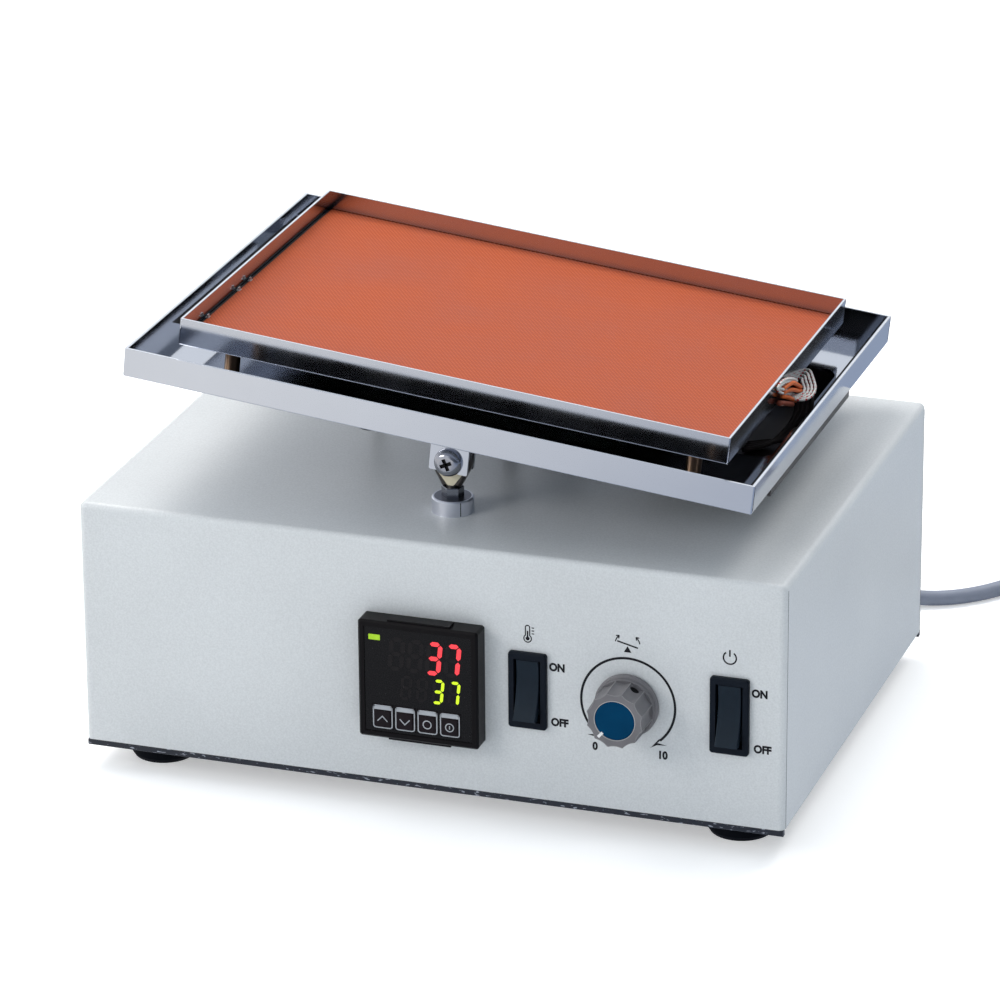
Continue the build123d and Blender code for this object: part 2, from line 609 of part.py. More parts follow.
# Lower tray with its window, the standoffs, the heater tray, the mat and the wiring
with BuildPart() as lower_tray:
    with BuildSketch(tray_plane(TRAY_FLOOR)):
        Rectangle(TRAY_W, TRAY_D)
    extrude(amount=TRAY_RIM)
    fillet(lower_tray.edges().filter_by(TRAY_UP) + lower_tray.edges().group_by(TRAY_UP)[0], radius=0.6)
    with BuildSketch(tray_plane(TRAY_FLOOR + TRAY_SHEET)):
        Rectangle(TRAY_W - 2 * TRAY_SHEET, TRAY_D - 2 * TRAY_SHEET)
    extrude(amount=TRAY_RIM, mode=Mode.SUBTRACT)
    with BuildSketch(tray_plane(TRAY_FLOOR)):
        with Locations((WINDOW_X, WINDOW_Y)):
            RectangleRounded(WINDOW_W, WINDOW_D, 8.0)
    extrude(amount=2 * TRAY_SHEET, mode=Mode.SUBTRACT)
keep(lower_tray, "lower_tray")

with BuildPart() as tray_standoffs:
    with BuildSketch(tray_plane(TRAY_FLOOR + TRAY_SHEET)):
        with Locations(*STANDOFFS):
            Circle(STANDOFF_D / 2)
    extrude(amount=HEATER_FLOOR - TRAY_FLOOR - TRAY_SHEET)
keep(tray_standoffs, "tray_standoffs")

with BuildPart() as heater_tray:
    with BuildSketch(tray_plane(HEATER_FLOOR)):
        Rectangle(HEATER_W, HEATER_D)
    extrude(amount=HEATER_RIM)
    fillet(heater_tray.edges().filter_by(TRAY_UP) + heater_tray.edges().group_by(TRAY_UP)[0], radius=0.6)
    with BuildSketch(tray_plane(HEATER_FLOOR + HEATER_SHEET)):
        Rectangle(HEATER_W - 2 * HEATER_SHEET, HEATER_D - 2 * HEATER_SHEET)
    extrude(amount=HEATER_RIM, mode=Mode.SUBTRACT)
keep(heater_tray, "heater_tray")

with BuildPart() as heater_mat:
    with BuildSketch(tray_plane(HEATER_FLOOR + HEATER_SHEET)):
        with Locations((MAT_GAP / 2, 0)):
            RectangleRounded(HEATER_W - 2 * HEATER_SHEET - MAT_GAP - 2 * MAT_SLACK,
                             HEATER_D - 2 * HEATER_SHEET - 2 * MAT_SLACK, 1.0)
    extrude(amount=MAT_T)
keep(heater_mat, "heater_mat")

with BuildPart() as wiring_cover:
    with BuildSketch(tray_plane(TRAY_FLOOR - WIRING_DEPTH)):
        with Locations((84.5, WINDOW_Y)):
            Rectangle(72.0, WINDOW_D + 10.0)
        with Locations((18.5, LEAD_Y)):
            Rectangle(62.0, 24.0)
    extrude(amount=WIRING_DEPTH)
    offset(amount=-1.0, openings=wiring_cover.faces().sort_by(TRAY_UP)[-1])
    with BuildSketch(tray_plane(TRAY_FLOOR - WIRING_DEPTH)):
        with Locations((LEAD_X - 0.6, LEAD_Y)):
            Circle(LEAD_D / 2 + 0.8)
    extrude(amount=2.0, mode=Mode.SUBTRACT)
keep(wiring_cover, "wiring_cover")

with BuildPart() as heater_leads:
    for wire in range(LEADS):
        inset = wire * LEAD_STEP
        loop = [
            tray_point(88.0, LOOP_FAR - inset, HEATER_FLOOR - 1.4),
            tray_point(LOOP_OUT - inset, LOOP_FAR - inset, HEATER_FLOOR - 2.6),
            tray_point(LOOP_OUT - inset, LOOP_NEAR + inset, TRAY_FLOOR + 3.6),
            tray_point(90.0, LOOP_NEAR + inset, TRAY_FLOOR - WIRING_DEPTH / 2),
        ]
        with BuildLine():
            bent = FilletPolyline(*loop, radius=corner_radii(loop))
        with BuildSketch(Plane(origin=bent @ 0, z_dir=bent % 0)):
            Circle(LEAD_WIRE_D / 2)
        sweep()
keep(heater_leads, "heater_leads")

with BuildPart() as top_grommet:
    for bottom, height, radius in (
        (CASE_TOP, 1.8, 8.0),
        (CASE_TOP - SHEET, SHEET, 6.0),
        (CASE_TOP - SHEET - 1.6, 1.6, 7.6),
    ):
        with BuildSketch(Plane.XY.offset(bottom)):
            with Locations((LEAD_X, CASE_Y + LEAD_Y)):
                Circle(radius)
                Circle(LEAD_D / 2, mode=Mode.SUBTRACT)
        extrude(amount=height)
keep(top_grommet, "top_grommet")

with BuildPart() as flexible_lead:
    with BuildSketch(Plane.XY.offset(CASE_TOP - 8.0)):
        with Locations((LEAD_X, CASE_Y + LEAD_Y)):
            Circle(LEAD_D / 2)
    extrude(amount=tray_point(LEAD_X, 0, TRAY_FLOOR - WIRING_DEPTH)[2] - CASE_TOP + 8.0 - 0.8)
keep(flexible_lead, "flexible_lead")

# Drive: motor and gearhead on a bracket, crank disc, link and the clevis that it lifts the tray by
with BuildPart() as drive_bracket:
    with BuildSketch(tray_across(PIVOT_ACROSS - ARM, DRIVE_Y, 0)):
        with Locations((0, (TRAY_FLOOR - DRIVE_DROP) / 2)):
            Rectangle(FORK_W + 2 * PLATE_T, TRAY_FLOOR + DRIVE_DROP)
        with Locations((0, (TRAY_FLOOR - DRIVE_DROP) / 2 - PLATE_T)):
            Rectangle(FORK_W, TRAY_FLOOR + DRIVE_DROP, mode=Mode.SUBTRACT)
    extrude(amount=6.0, both=True)
    fillet(drive_bracket.edges().filter_by(Axis.Y).group_by(TRAY_UP)[0], radius=2.0)
    with BuildSketch(tray_side(PIVOT_ACROSS - ARM, DRIVE_Y, PIVOT_HEIGHT, -1)):
        Circle(BOLT_D / 2)
    extrude(amount=EYE_T, both=True, mode=Mode.SUBTRACT)
keep(drive_bracket, "drive_bracket")

with BuildPart() as drive_screw:
    screw_seat = tray_side(PIVOT_ACROSS - ARM, DRIVE_Y - FORK_W / 2 - PLATE_T, PIVOT_HEIGHT, -1)
    with BuildSketch(screw_seat):
        Circle(4.5)
    extrude(amount=3.0)
    fillet(drive_screw.edges().group_by(Axis.Y)[0], radius=1.0)
    with BuildSketch(screw_seat):
        Circle(BOLT_D / 2)
    extrude(amount=-FORK_W - 2 * PLATE_T)
keep(drive_screw, "drive_screw")

with BuildPart() as link_rod_ends:
    for eye_z, toward, bore in ((TOP_EYE_Z, -1, BOLT_D / 2 + RUNNING), (LOW_EYE_Z, 1, BOLT_D / 2)):
        with BuildSketch(upright(DRIVE_X, DRIVE_Y, eye_z, -1)):
            Circle(LINK_EYE_D / 2)
        extrude(amount=EYE_T / 2, both=True)
        with BuildSketch(Plane.XY.offset(eye_z)):
            with Locations((DRIVE_X, CASE_Y + DRIVE_Y)):
                Circle(4.0)
        extrude(amount=toward * 18.0)
        with BuildSketch(upright(DRIVE_X, DRIVE_Y, eye_z, -1)):
            Circle(bore)
        extrude(amount=EYE_T, both=True, mode=Mode.SUBTRACT)
        for face in (-1, 1):
            with BuildSketch(upright(DRIVE_X, DRIVE_Y + face * EYE_T / 2, eye_z, face)):
                Circle(LINK_EYE_D / 2 + 1.0)
            extrude(amount=4.0, mode=Mode.SUBTRACT)
        with BuildSketch(Plane.XY.offset(eye_z + toward * 10.0)):
            with Locations((DRIVE_X, CASE_Y + DRIVE_Y)):
                Circle(2.5)
        extrude(amount=toward * 8.0, mode=Mode.SUBTRACT)
keep(link_rod_ends, "link_rod_ends")

with BuildPart() as link_rod:
    with BuildSketch(Plane.XY.offset(LOW_EYE_Z + 10.0)):
        with Locations((DRIVE_X, CASE_Y + DRIVE_Y)):
            Circle(2.5)
    extrude(amount=LINK_LENGTH - 20.0)
keep(link_rod, "link_rod")

with BuildPart() as crank_pin:
    with BuildSketch(upright(DRIVE_X, DRIVE_Y - EYE_T / 2, LOW_EYE_Z, -1)):
        Circle(4.5)
    extrude(amount=3.0)
    with BuildSketch(upright(DRIVE_X, DRIVE_Y - EYE_T / 2, LOW_EYE_Z, -1)):
        Circle(BOLT_D / 2)
    extrude(amount=DRIVE_Y - EYE_T / 2 - CRANK_FACE + CRANK_GAP)
keep(crank_pin, "crank_pin")

with BuildPart() as crank_disc:
    with BuildSketch(upright(DRIVE_X, CRANK_FACE, CRANK_Z, 1)):
        Circle(CRANK_D / 2)
        Circle(OUTPUT_D / 2, mode=Mode.SUBTRACT)
        with Locations((0, CRANK_R)):
            Circle(2.1, mode=Mode.SUBTRACT)
    extrude(amount=CRANK_T)
keep(crank_disc, "crank_disc")

with BuildPart() as output_shaft:
    with BuildSketch(upright(DRIVE_X, CRANK_FACE + 0.5, CRANK_Z, 1)):
        Circle(OUTPUT_D / 2)
    extrude(amount=BRACKET_FACE + PLATE_T + 12.0 - CRANK_FACE - 0.5)
keep(output_shaft, "output_shaft")

with BuildPart() as motor_bracket:
    with BuildSketch(upright(DRIVE_X, BRACKET_FACE, PAN_TOP + 37.0, 1)):
        Rectangle(GEARBOX_W + 8.0, 74.0)
    extrude(amount=PLATE_T)
    with BuildSketch(Plane.XY.offset(PAN_TOP)):
        with Locations((DRIVE_X, CASE_Y + BRACKET_FACE + PLATE_T / 2 + 14.0)):
            Rectangle(GEARBOX_W + 8.0, 28.0 + PLATE_T)
    extrude(amount=PLATE_T)
    with BuildSketch(upright(DRIVE_X, BRACKET_FACE, CRANK_Z, 1)):
        Circle(7.0)
    extrude(amount=PLATE_T, mode=Mode.SUBTRACT)
keep(motor_bracket, "motor_bracket")

with BuildPart() as gearhead:
    with BuildSketch(upright(DRIVE_X, BRACKET_FACE + PLATE_T, CRANK_Z - 10.0, 1)):
        RectangleRounded(GEARBOX_W, GEARBOX_W, 4.0)
    extrude(amount=GEARBOX_L)
    with BuildSketch(upright(DRIVE_X, BRACKET_FACE + PLATE_T, CRANK_Z, 1)):
        Circle(OUTPUT_D / 2 + RUNNING)
    extrude(amount=12.5, mode=Mode.SUBTRACT)
keep(gearhead, "gearhead")

with BuildPart() as motor:
    with BuildSketch(upright(DRIVE_X, BRACKET_FACE + PLATE_T + GEARBOX_L, CRANK_Z - 10.0, 1)):
        Circle(GEARBOX_W / 2 - 1.5)
    extrude(amount=MOTOR_L)
    fillet(motor.edges().group_by(Axis.Y)[-1], radius=3.0)
keep(motor, "motor")

# Electrics inside
with BuildPart() as circuit_board:
    with BuildSketch(Plane.XY.offset(PAN_TOP + BOARD_RAISE)):
        with Locations(BOARD_PLACE):
            Rectangle(BOARD_W, BOARD_D)
    extrude(amount=BOARD_T)
    with BuildSketch(Plane.XY.offset(PAN_TOP)):
        with Locations(BOARD_PLACE):
            with GridLocations(BOARD_W - 8.0, BOARD_D - 8.0, 2, 2):
                Circle(3.0)
    extrude(amount=BOARD_RAISE)
    with BuildSketch(Plane.XY.offset(PAN_TOP + BOARD_RAISE + BOARD_T)):
        with Locations(BOARD_PLACE):
            with Locations((-28.0, 8.0)):
                Rectangle(12.0, 30.0)
            with Locations((24.0, 24.0)):
                Rectangle(44.0, 10.0)
    extrude(amount=16.0)
    with BuildSketch(Plane.XY.offset(PAN_TOP + BOARD_RAISE + BOARD_T)):
        with Locations(BOARD_PLACE):
            with Locations((6.0, -10.0), (30.0, -8.0)):
                Circle(8.0)
    extrude(amount=22.0)
keep(circuit_board, "circuit_board")

with BuildPart() as fuse_holder:
    with BuildSketch(rear(FUSE_X, FUSE_Z)):
        Circle(7.6)
    extrude(amount=FUSE_OUT - FUSE_CAP)
    with BuildSketch(rear(FUSE_X, FUSE_Z, FUSE_OUT - FUSE_CAP)):
        Circle(6.4)
    extrude(amount=FUSE_CAP)
    chamfer(fuse_holder.edges().group_by(Axis.Y)[-1], length=0.8)
    with BuildSketch(rear(FUSE_X, FUSE_Z, FUSE_OUT)):
        Rectangle(8.0, 1.4)
    extrude(amount=-1.6, mode=Mode.SUBTRACT)
    with BuildSketch(rear(FUSE_X, FUSE_Z)):
        Circle(6.0)
    extrude(amount=-26.0)
keep(fuse_holder, "fuse_holder")

# Mains cord: strain relief, loose run, wound coil and plug
cord_start = Vector(*CORD_ROUTE[0])
cord_start_heading = (Vector(*CORD_ROUTE[1]) - cord_start).normalized()
with BuildPart() as strain_relief:
    with BuildSketch(rear(GLAND_X, GLAND_Z, -10.0)):
        Circle(5.5)
    extrude(amount=10.0)
    with BuildSketch(rear(GLAND_X, GLAND_Z)):
        Circle(7.4)
    extrude(amount=3.0)
    fillet(strain_relief.edges().group_by(Axis.Y)[-1], radius=0.8)
    with BuildSketch(rear(GLAND_X, GLAND_Z, 3.0)):
        Circle(5.6)
    with BuildSketch(Plane(origin=cord_start, x_dir=(-1, 0, 0), z_dir=cord_start_heading)):
        Circle(4.1)
    loft()
keep(strain_relief, "strain_relief")

with BuildPart() as power_cord:
    with BuildLine():
        route = FilletPolyline(*CORD_ROUTE, radius=corner_radii(CORD_ROUTE))
    with BuildSketch(Plane(origin=route @ 0, z_dir=route % 0)):
        Circle(CORD_D / 2)
    sweep()
keep(power_cord, "power_cord")

COIL_ENTRY = Vector(*CORD_ROUTE[-1])
COIL_HEADING = (COIL_ENTRY - Vector(*CORD_ROUTE[-2])).normalized()
COIL_FIRST = COIL_ENTRY + COIL_HEADING * CORD_D
COIL_SLOPE = atan2(COIL_PITCH / (2 * pi), COIL_OUTER)
COIL_BEARING = atan2(COIL_HEADING.Y, COIL_HEADING.X) + pi / 2 + COIL_SLOPE
COIL_MIDDLE = COIL_FIRST - Vector(cos(COIL_BEARING), sin(COIL_BEARING)) * COIL_OUTER
COIL_TOTAL = 2 * pi * COIL_TURNS


def coil_place(turned):
    """Middle of the cord after it has wound clockwise by this angle: in, up one layer, and out."""
    radius = COIL_OUTER - COIL_PITCH * min(turned, COIL_TOTAL - turned) / (2 * pi)
    climbed = min(max((turned - COIL_TOTAL / 2) / pi + 0.5, 0), 1)
    rise = COIL_PITCH * (1 - cos(pi * climbed)) / 2
    bearing = COIL_BEARING - turned
    return COIL_MIDDLE + Vector(radius * cos(bearing), radius * sin(bearing), rise)


def coil_heading(turned):
    """Direction of the cord there."""
    nudge = 0.002
    return (coil_place(turned + nudge) - coil_place(turned - nudge)).normalized()


def arc_joint(start, start_heading, stop, stop_heading):
    """Place where two arcs meet that join two places with given headings."""
    span, headings = stop - start, start_heading + stop_heading
    spread = 2 * (1 - start_heading.dot(stop_heading))
    reach = (sqrt(span.dot(headings) ** 2 + spread * span.dot(span)) - span.dot(headings)) / spread
    return (start + stop + (start_heading - stop_heading) * reach) * 0.5


QUARTERS = [quarter * pi / 2 for quarter in range(int(4 * COIL_TURNS) + 1)]
COIL_LAST = coil_place(COIL_TOTAL)
COIL_EXIT_HEADING = coil_heading(COIL_TOTAL)
COIL_EXIT = COIL_LAST + COIL_EXIT_HEADING * COIL_TAIL

with BuildPart() as cord_coil:
    with BuildLine() as winding:
        Line(COIL_ENTRY, coil_place(0))
        for near, far in zip(QUARTERS, QUARTERS[1:]):
            middle = arc_joint(coil_place(near), coil_heading(near), coil_place(far), coil_heading(far))
            TangentArc(coil_place(near), middle, tangent=coil_heading(near))
            TangentArc(coil_place(far), middle, tangent=-coil_heading(far))
        Line(COIL_LAST, COIL_EXIT)
    with BuildSketch(Plane(origin=COIL_ENTRY, z_dir=COIL_HEADING)):
        Circle(CORD_D / 2)
    sweep()
keep(cord_coil, "cord_coil")


def plug_plane(along):
    """Plane across the plug at this distance from the end of the coil's cord."""
    flat = Vector(COIL_EXIT_HEADING.X, COIL_EXIT_HEADING.Y, 0).normalized()
    sideways = flat.cross(Vector(0, 0, 1))
    return Plane(origin=COIL_EXIT + flat * along, x_dir=sideways, z_dir=flat)


PLUG_HALF = CORD_D / 2 + COIL_PITCH
with BuildPart() as plug_body:
    with BuildSketch(plug_plane(0)):
        Circle(CORD_D / 2 + 1.0)
    with BuildSketch(plug_plane(PLUG_BOOT)):
        Circle(6.4)
    loft()
    with BuildSketch(plug_plane(PLUG_BOOT)):
        RectangleRounded(PLUG_W, 2 * PLUG_HALF, 6.0)
    extrude(amount=PLUG_L - PLUG_BOOT)
    fillet(plug_body.faces().filter_by(plug_plane(PLUG_BOOT)).edges().filter_by(GeomType.CIRCLE, reverse=True),
           radius=1.0)
keep(plug_body, "plug_body")

with BuildPart() as plug_blades:
    with BuildSketch(plug_plane(PLUG_L)):
        with GridLocations(12.7, 0, 2, 1):
            Rectangle(1.5, 6.3)
    extrude(amount=17.5)
keep(plug_blades, "plug_blades")

cord_section = pi * CORD_D**2 / 4
coil_wire = winding.wires()[0]
coil_length = coil_wire.length
print("cord radii", [round(radius, 1) for radius in corner_radii(CORD_ROUTE)])
print("cord run", round(route.length, 1), "coil", round(coil_length, 1))
print("cord volume ratio", round(power_cord.part.volume / (cord_section * route.length), 4))
print("coil volume ratio", round(cord_coil.part.volume / (cord_section * coil_length), 4))

STEPS = 1200
NEXT_TURN = 45  # steps of about a quarter turn, within which the cord is beside itself
places = [coil_wire @ (step / STEPS) for step in range(STEPS + 1)]
nearest = min(
    (places[a] - places[b]).length
    for a in range(STEPS + 1)
    for b in range(a + NEXT_TURN, STEPS + 1)
)
print("coil gap to itself", round(nearest - CORD_D, 2))
print("coil tightest radius", round(COIL_OUTER - COIL_PITCH * COIL_TURNS / 2, 1))
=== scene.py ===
"""Looks of the heated rocking mixer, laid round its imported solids.

Metres, +Z up, the user stands at -Y. Places on the tray are given across it, along it and square to
it, from a point over the middle of the casing.
"""

import json
from math import atan2, cos, pi, radians, sin

import bmesh
import bpy
from mathutils import Matrix, Vector

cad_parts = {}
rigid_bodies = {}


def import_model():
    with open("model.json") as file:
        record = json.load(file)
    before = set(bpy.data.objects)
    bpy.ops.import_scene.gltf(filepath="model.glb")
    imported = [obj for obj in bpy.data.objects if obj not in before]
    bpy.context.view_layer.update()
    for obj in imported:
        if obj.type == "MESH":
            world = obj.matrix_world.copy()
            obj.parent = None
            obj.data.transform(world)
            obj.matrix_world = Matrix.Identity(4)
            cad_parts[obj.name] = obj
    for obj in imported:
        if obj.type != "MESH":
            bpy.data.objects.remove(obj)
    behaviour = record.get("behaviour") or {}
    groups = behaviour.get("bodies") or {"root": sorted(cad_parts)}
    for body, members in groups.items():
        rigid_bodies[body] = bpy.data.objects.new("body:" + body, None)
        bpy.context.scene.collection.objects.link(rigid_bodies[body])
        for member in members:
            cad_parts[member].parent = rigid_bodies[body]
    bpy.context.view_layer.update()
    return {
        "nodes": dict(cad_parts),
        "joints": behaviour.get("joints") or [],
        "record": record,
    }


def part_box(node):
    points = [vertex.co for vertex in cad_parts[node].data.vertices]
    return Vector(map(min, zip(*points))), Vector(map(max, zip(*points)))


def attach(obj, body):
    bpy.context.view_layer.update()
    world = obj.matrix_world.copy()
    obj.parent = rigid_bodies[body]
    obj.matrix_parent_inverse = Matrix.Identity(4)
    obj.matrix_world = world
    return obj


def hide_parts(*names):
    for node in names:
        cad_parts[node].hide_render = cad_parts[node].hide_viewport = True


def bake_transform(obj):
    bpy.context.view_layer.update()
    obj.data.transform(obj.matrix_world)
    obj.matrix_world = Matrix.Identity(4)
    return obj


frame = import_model()
nodes = frame["nodes"]
joints = {joint["name"]: joint for joint in frame["joints"]}

MM = 0.001
WAVE_OF_A_METRE = 2 * pi / 20  # scale at which a wave texture repeats once a metre
EDGE_HIGHLIGHT_SHARE = 0.7071  # how much of a sheet's cut edge carries the painted highlight
SHARPEST_MITRE = 0.3  # cosine of half the turn at which a band's corner grows no longer

# Camera, as far off as its long lens needs
CAMERA_AZIMUTH = radians(18.806)
CAMERA_ELEVATION = radians(21.579)
CAMERA_ROLL = radians(-0.465)
CAMERA_DISTANCE = 2.152
CAMERA_TARGET = Vector((-0.00493, 0.004, 0.08973))
LENS = 196.52
SENSOR = 36.0

# Light: name, place, aim, width, height, power and colour of each lamp
WARM = (1.0, 0.965, 0.925)
COOL = (0.82, 0.91, 1.0)
AMBIENT = 0.62
FLOOR_LIFT = 0.42
LAMPS = (
    ("overhead", (-0.6, 0.5, 1.8), (0, 0, 0.1), 1.2, 1.0, 22.5, WARM),
    ("high_right", (0.55, 0.95, 1.25), (0.1, 0, 0.1), 0.5, 0.5, 8.2, WARM),
    ("low_left", (-1.2, -0.1, 0.78), (0, -0.02, 0.11), 0.5, 0.3, 3.0, WARM),
    ("near_left", (-0.85, -0.95, 0.7), (-0.1, -0.05, 0.06), 0.6, 0.5, 4.9, WARM),
)

# Places on the casing
FRONT_Y = joints["power_switch"]["pos_m"][1]
REAR_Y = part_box("rear_panel")[1].y
CASE_LEFT, CASE_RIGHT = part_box("cover_left")[0].x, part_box("cover_right")[1].x
CASE_FOOT, CASE_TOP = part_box("cover_left")[0].z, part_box("cover_left")[1].z
CASE_Y = (FRONT_Y + REAR_Y) / 2
KNOB = Vector(joints["speed_turn"]["pos_m"])
SWITCHES = [Vector(joints[name]["pos_m"]) for name in ("heater_switch", "power_switch")]
BEND_R = 2.5 * MM
SIGN_Z = 80.0 * MM  # height of the signs over the switches and the knob
CAPITAL_H = 3.1 * MM
INK = 0.05 * MM  # how far print stands off its surface
CROSSING_LIFT = INK / 9  # keeps a line that crosses another off its face
CAPITAL_SHARE = 0.72  # height of a capital, as a share of the letters' size

# Speed knob, from its axis and from the panel
KNOB_FOOT, KNOB_FACE = 5.4 * MM, 17.0 * MM
KNOB_R = 11.1 * MM
FLUTES, FLUTE_R, FLUTE_FROM_AXIS = 12, 7.6 * MM, 17.9 * MM
CREST_R_FOOT, CREST_R_FACE = 11.55 * MM, 11.15 * MM
RIM_STEPS = 240
SET_SCREW_TURN = radians(27)  # to the right of straight up
SCALE_R = 18.45 * MM
SCALE_GAP = radians(43)  # to each side of straight down

# Controller
CONTROL_LOW, CONTROL_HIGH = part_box("controller_bezel")
CONTROL_X = (CONTROL_LOW.x + CONTROL_HIGH.x) / 2
CONTROL_Z = (CONTROL_LOW.z + CONTROL_HIGH.z) / 2
CONTROL_HALF = 24.0 * MM
WINDOW_OUT = FRONT_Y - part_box("controller_window")[0].y
KEY_OUT = FRONT_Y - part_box("key_up")[0].y

# Trays: half sizes, and heights over their middle
TILT = radians(6.25)
TRAY_MIDDLE = Vector((0.0, CASE_Y, CASE_TOP + 23.1 * MM))
TRAY_HALF_W, TRAY_HALF_D = 125.1 * MM, 98.0 * MM
TRAY_FLOOR, TRAY_TOP = 15.7 * MM, 27.0 * MM
TRAY_SHEET = 1.2 * MM
HEATER_HALF_W, HEATER_HALF_D = 109.75 * MM, 81.4 * MM
HEATER_FLOOR, HEATER_TOP = 26.2 * MM, 36.8 * MM
HEATER_SHEET = 1.0 * MM
MAT_GAP, MAT_SLACK, MAT_T = 0.9 * MM, 0.35 * MM, 2.2 * MM
PIVOT = Vector(joints["tray_rock"]["pos_m"])
PIVOT_Y = 66.4 * MM  # from the middle to each pivot

# Mains cord: control points from the rear wall to the coil, and the coil that is put away
CORD_D = 6.4 * MM
CORD_ROUTE = [
    (0.1085, 0.1230, 0.0176),
    (0.1097, 0.1366, 0.0140),
    (0.1152, 0.1490, 0.0084),
    (0.1255, 0.1566, 0.0038),
    (0.1385, 0.1618, 0.0032),
    (0.1500, 0.1706, 0.0032),
    (0.1595, 0.1826, 0.0032),
    (0.1656, 0.1960, 0.0032),
    (0.1706, 0.2086, 0.0032),
]
COIL_PITCH = 6.9 * MM
COIL_OUTER = 48.0 * MM
COIL_TURNS = 6.5
COIL_TAIL = 24.0 * MM
COIL_POINTS_A_TURN = 20


# Frames on the object

def on_panel(x, z, out=0.0):
    """Frame on the front panel: X to the right, Y up, Z at the user."""
    return Matrix.Translation((x, FRONT_Y - out, z)) @ Matrix.Rotation(pi / 2, 4, "X")


def on_tray(x=0.0, y=0.0, height=0.0):
    """Frame that lies with the tray: X across it, Y along it, Z square to it."""
    tilted = Matrix.Translation(TRAY_MIDDLE) @ Matrix.Rotation(TILT, 4, "Y")
    return tilted @ Matrix.Translation((x, y, height))


def on_controller(right, down, out):
    """Frame on the controller's face, from its top left corner."""
    return on_panel(CONTROL_X - CONTROL_HALF + right, CONTROL_Z + CONTROL_HALF - down, out)


def shifted(place, x=0.0, y=0.0, z=0.0):
    """A frame moved along its own axes."""
    return place @ Matrix.Translation((x, y, z))


# Finishes

def new_finish(name, colour, roughness, metallic=0.0, **constants):
    """A finish whose plain values sit on the shader's own sockets."""
    finish = bpy.data.materials.new(name)
    finish.use_nodes = True
    shader = finish.node_tree.nodes["Principled BSDF"]
    shader.inputs["Base Color"].default_value = (*colour, 1.0)
    shader.inputs["Roughness"].default_value = roughness
    shader.inputs["Metallic"].default_value = metallic
    for socket, value in constants.items():
        shader.inputs[socket.replace("_", " ")].default_value = value
    return finish


def add_node(tree, kind, settings=None, **inputs):
    """A node of a tree; an input is a value, or another node's socket."""
    made = tree.nodes.new(kind)
    for name, value in (settings or {}).items():
        setattr(made, name, value)
    for name, value in inputs.items():
        socket = made.inputs[int(name[1:]) if name[0] == "_" else name.replace("_", " ")]
        if isinstance(value, bpy.types.NodeSocket):
            tree.links.new(value, socket)
        else:
            socket.default_value = value
    return made


def node(finish, kind, settings=None, **inputs):
    """A node of a finish."""
    return add_node(finish.node_tree, kind, settings, **inputs)


def wire_up(finish, socket, value):
    """Drive one of the shader's sockets."""
    shader = finish.node_tree.nodes["Principled BSDF"]
    finish.node_tree.links.new(value, shader.inputs[socket])


def place_of(finish, turn=(0.0, 0.0, 0.0), stretch=(1.0, 1.0, 1.0)):
    """Object coordinates, turned and stretched."""
    place = node(finish, "ShaderNodeTexCoord").outputs["Object"]
    mapping = node(finish, "ShaderNodeMapping", Vector=place, Rotation=turn, Scale=stretch)
    return mapping.outputs["Vector"]


def grain(finish, size, detail=2.0, place=None):
    """Soft noise whose blots are about this wide."""
    place = place or place_of(finish)
    noise = node(finish, "ShaderNodeTexNoise", Vector=place, Scale=1.0 / size, Detail=detail)
    return noise.outputs["Fac"]


def stripes(finish, pitch, place):
    """Soft bands at this pitch across a place's X axis."""
    bands = node(finish, "ShaderNodeTexWave", Vector=place, Scale=WAVE_OF_A_METRE / pitch)
    return bands.outputs["Fac"]


def spread(finish, factor, low, high, start=0.0, stop=1.0):
    """Map a factor to a range of values."""
    mapped = node(
        finish, "ShaderNodeMapRange", Value=factor,
        From_Min=start, From_Max=stop, To_Min=low, To_Max=high,
    )
    return mapped.outputs["Result"]


def with_stops(ramp, stops):
    """A colour ramp's colours, once it has these stops."""
    elements = ramp.color_ramp.elements
    while len(elements) < len(stops):
        elements.new(0.5)
    for element, (place, colour) in zip(elements, stops):
        element.position = place
        element.color = (*colour, 1.0)
    return ramp.outputs["Color"]


def tint(finish, factor, *stops):
    """Colours over a factor; each stop is a place and a colour."""
    return with_stops(node(finish, "ShaderNodeValToRGB", Fac=factor), stops)


def combined(finish, operation, first, second):
    """Two factors put together by arithmetic."""
    return node(finish, "ShaderNodeMath", {"operation": operation}, _0=first, _1=second).outputs[0]


def mostly(finish, first, second):
    """Seven tenths of one factor and three of another."""
    more, less = combined(finish, "MULTIPLY", first, 0.7), combined(finish, "MULTIPLY", second, 0.3)
    return combined(finish, "ADD", more, less)


def over(finish, factor, ground, colour):
    """A plain colour over a ground, where the factor is 1."""
    mix = node(
        finish, "ShaderNodeMix", {"data_type": "RGBA"}, _0=factor, _6=ground, _7=(*colour, 1.0),
    )
    return mix.outputs[2]


def relief(finish, height, depth):
    """Bump of this depth in metres."""
    bump = node(finish, "ShaderNodeBump", Height=height, Distance=depth, Strength=1.0)
    wire_up(finish, "Normal", bump.outputs["Normal"])


def shade(colour, share):
    """A colour made darker or lighter."""
    return tuple(channel * share for channel in colour)


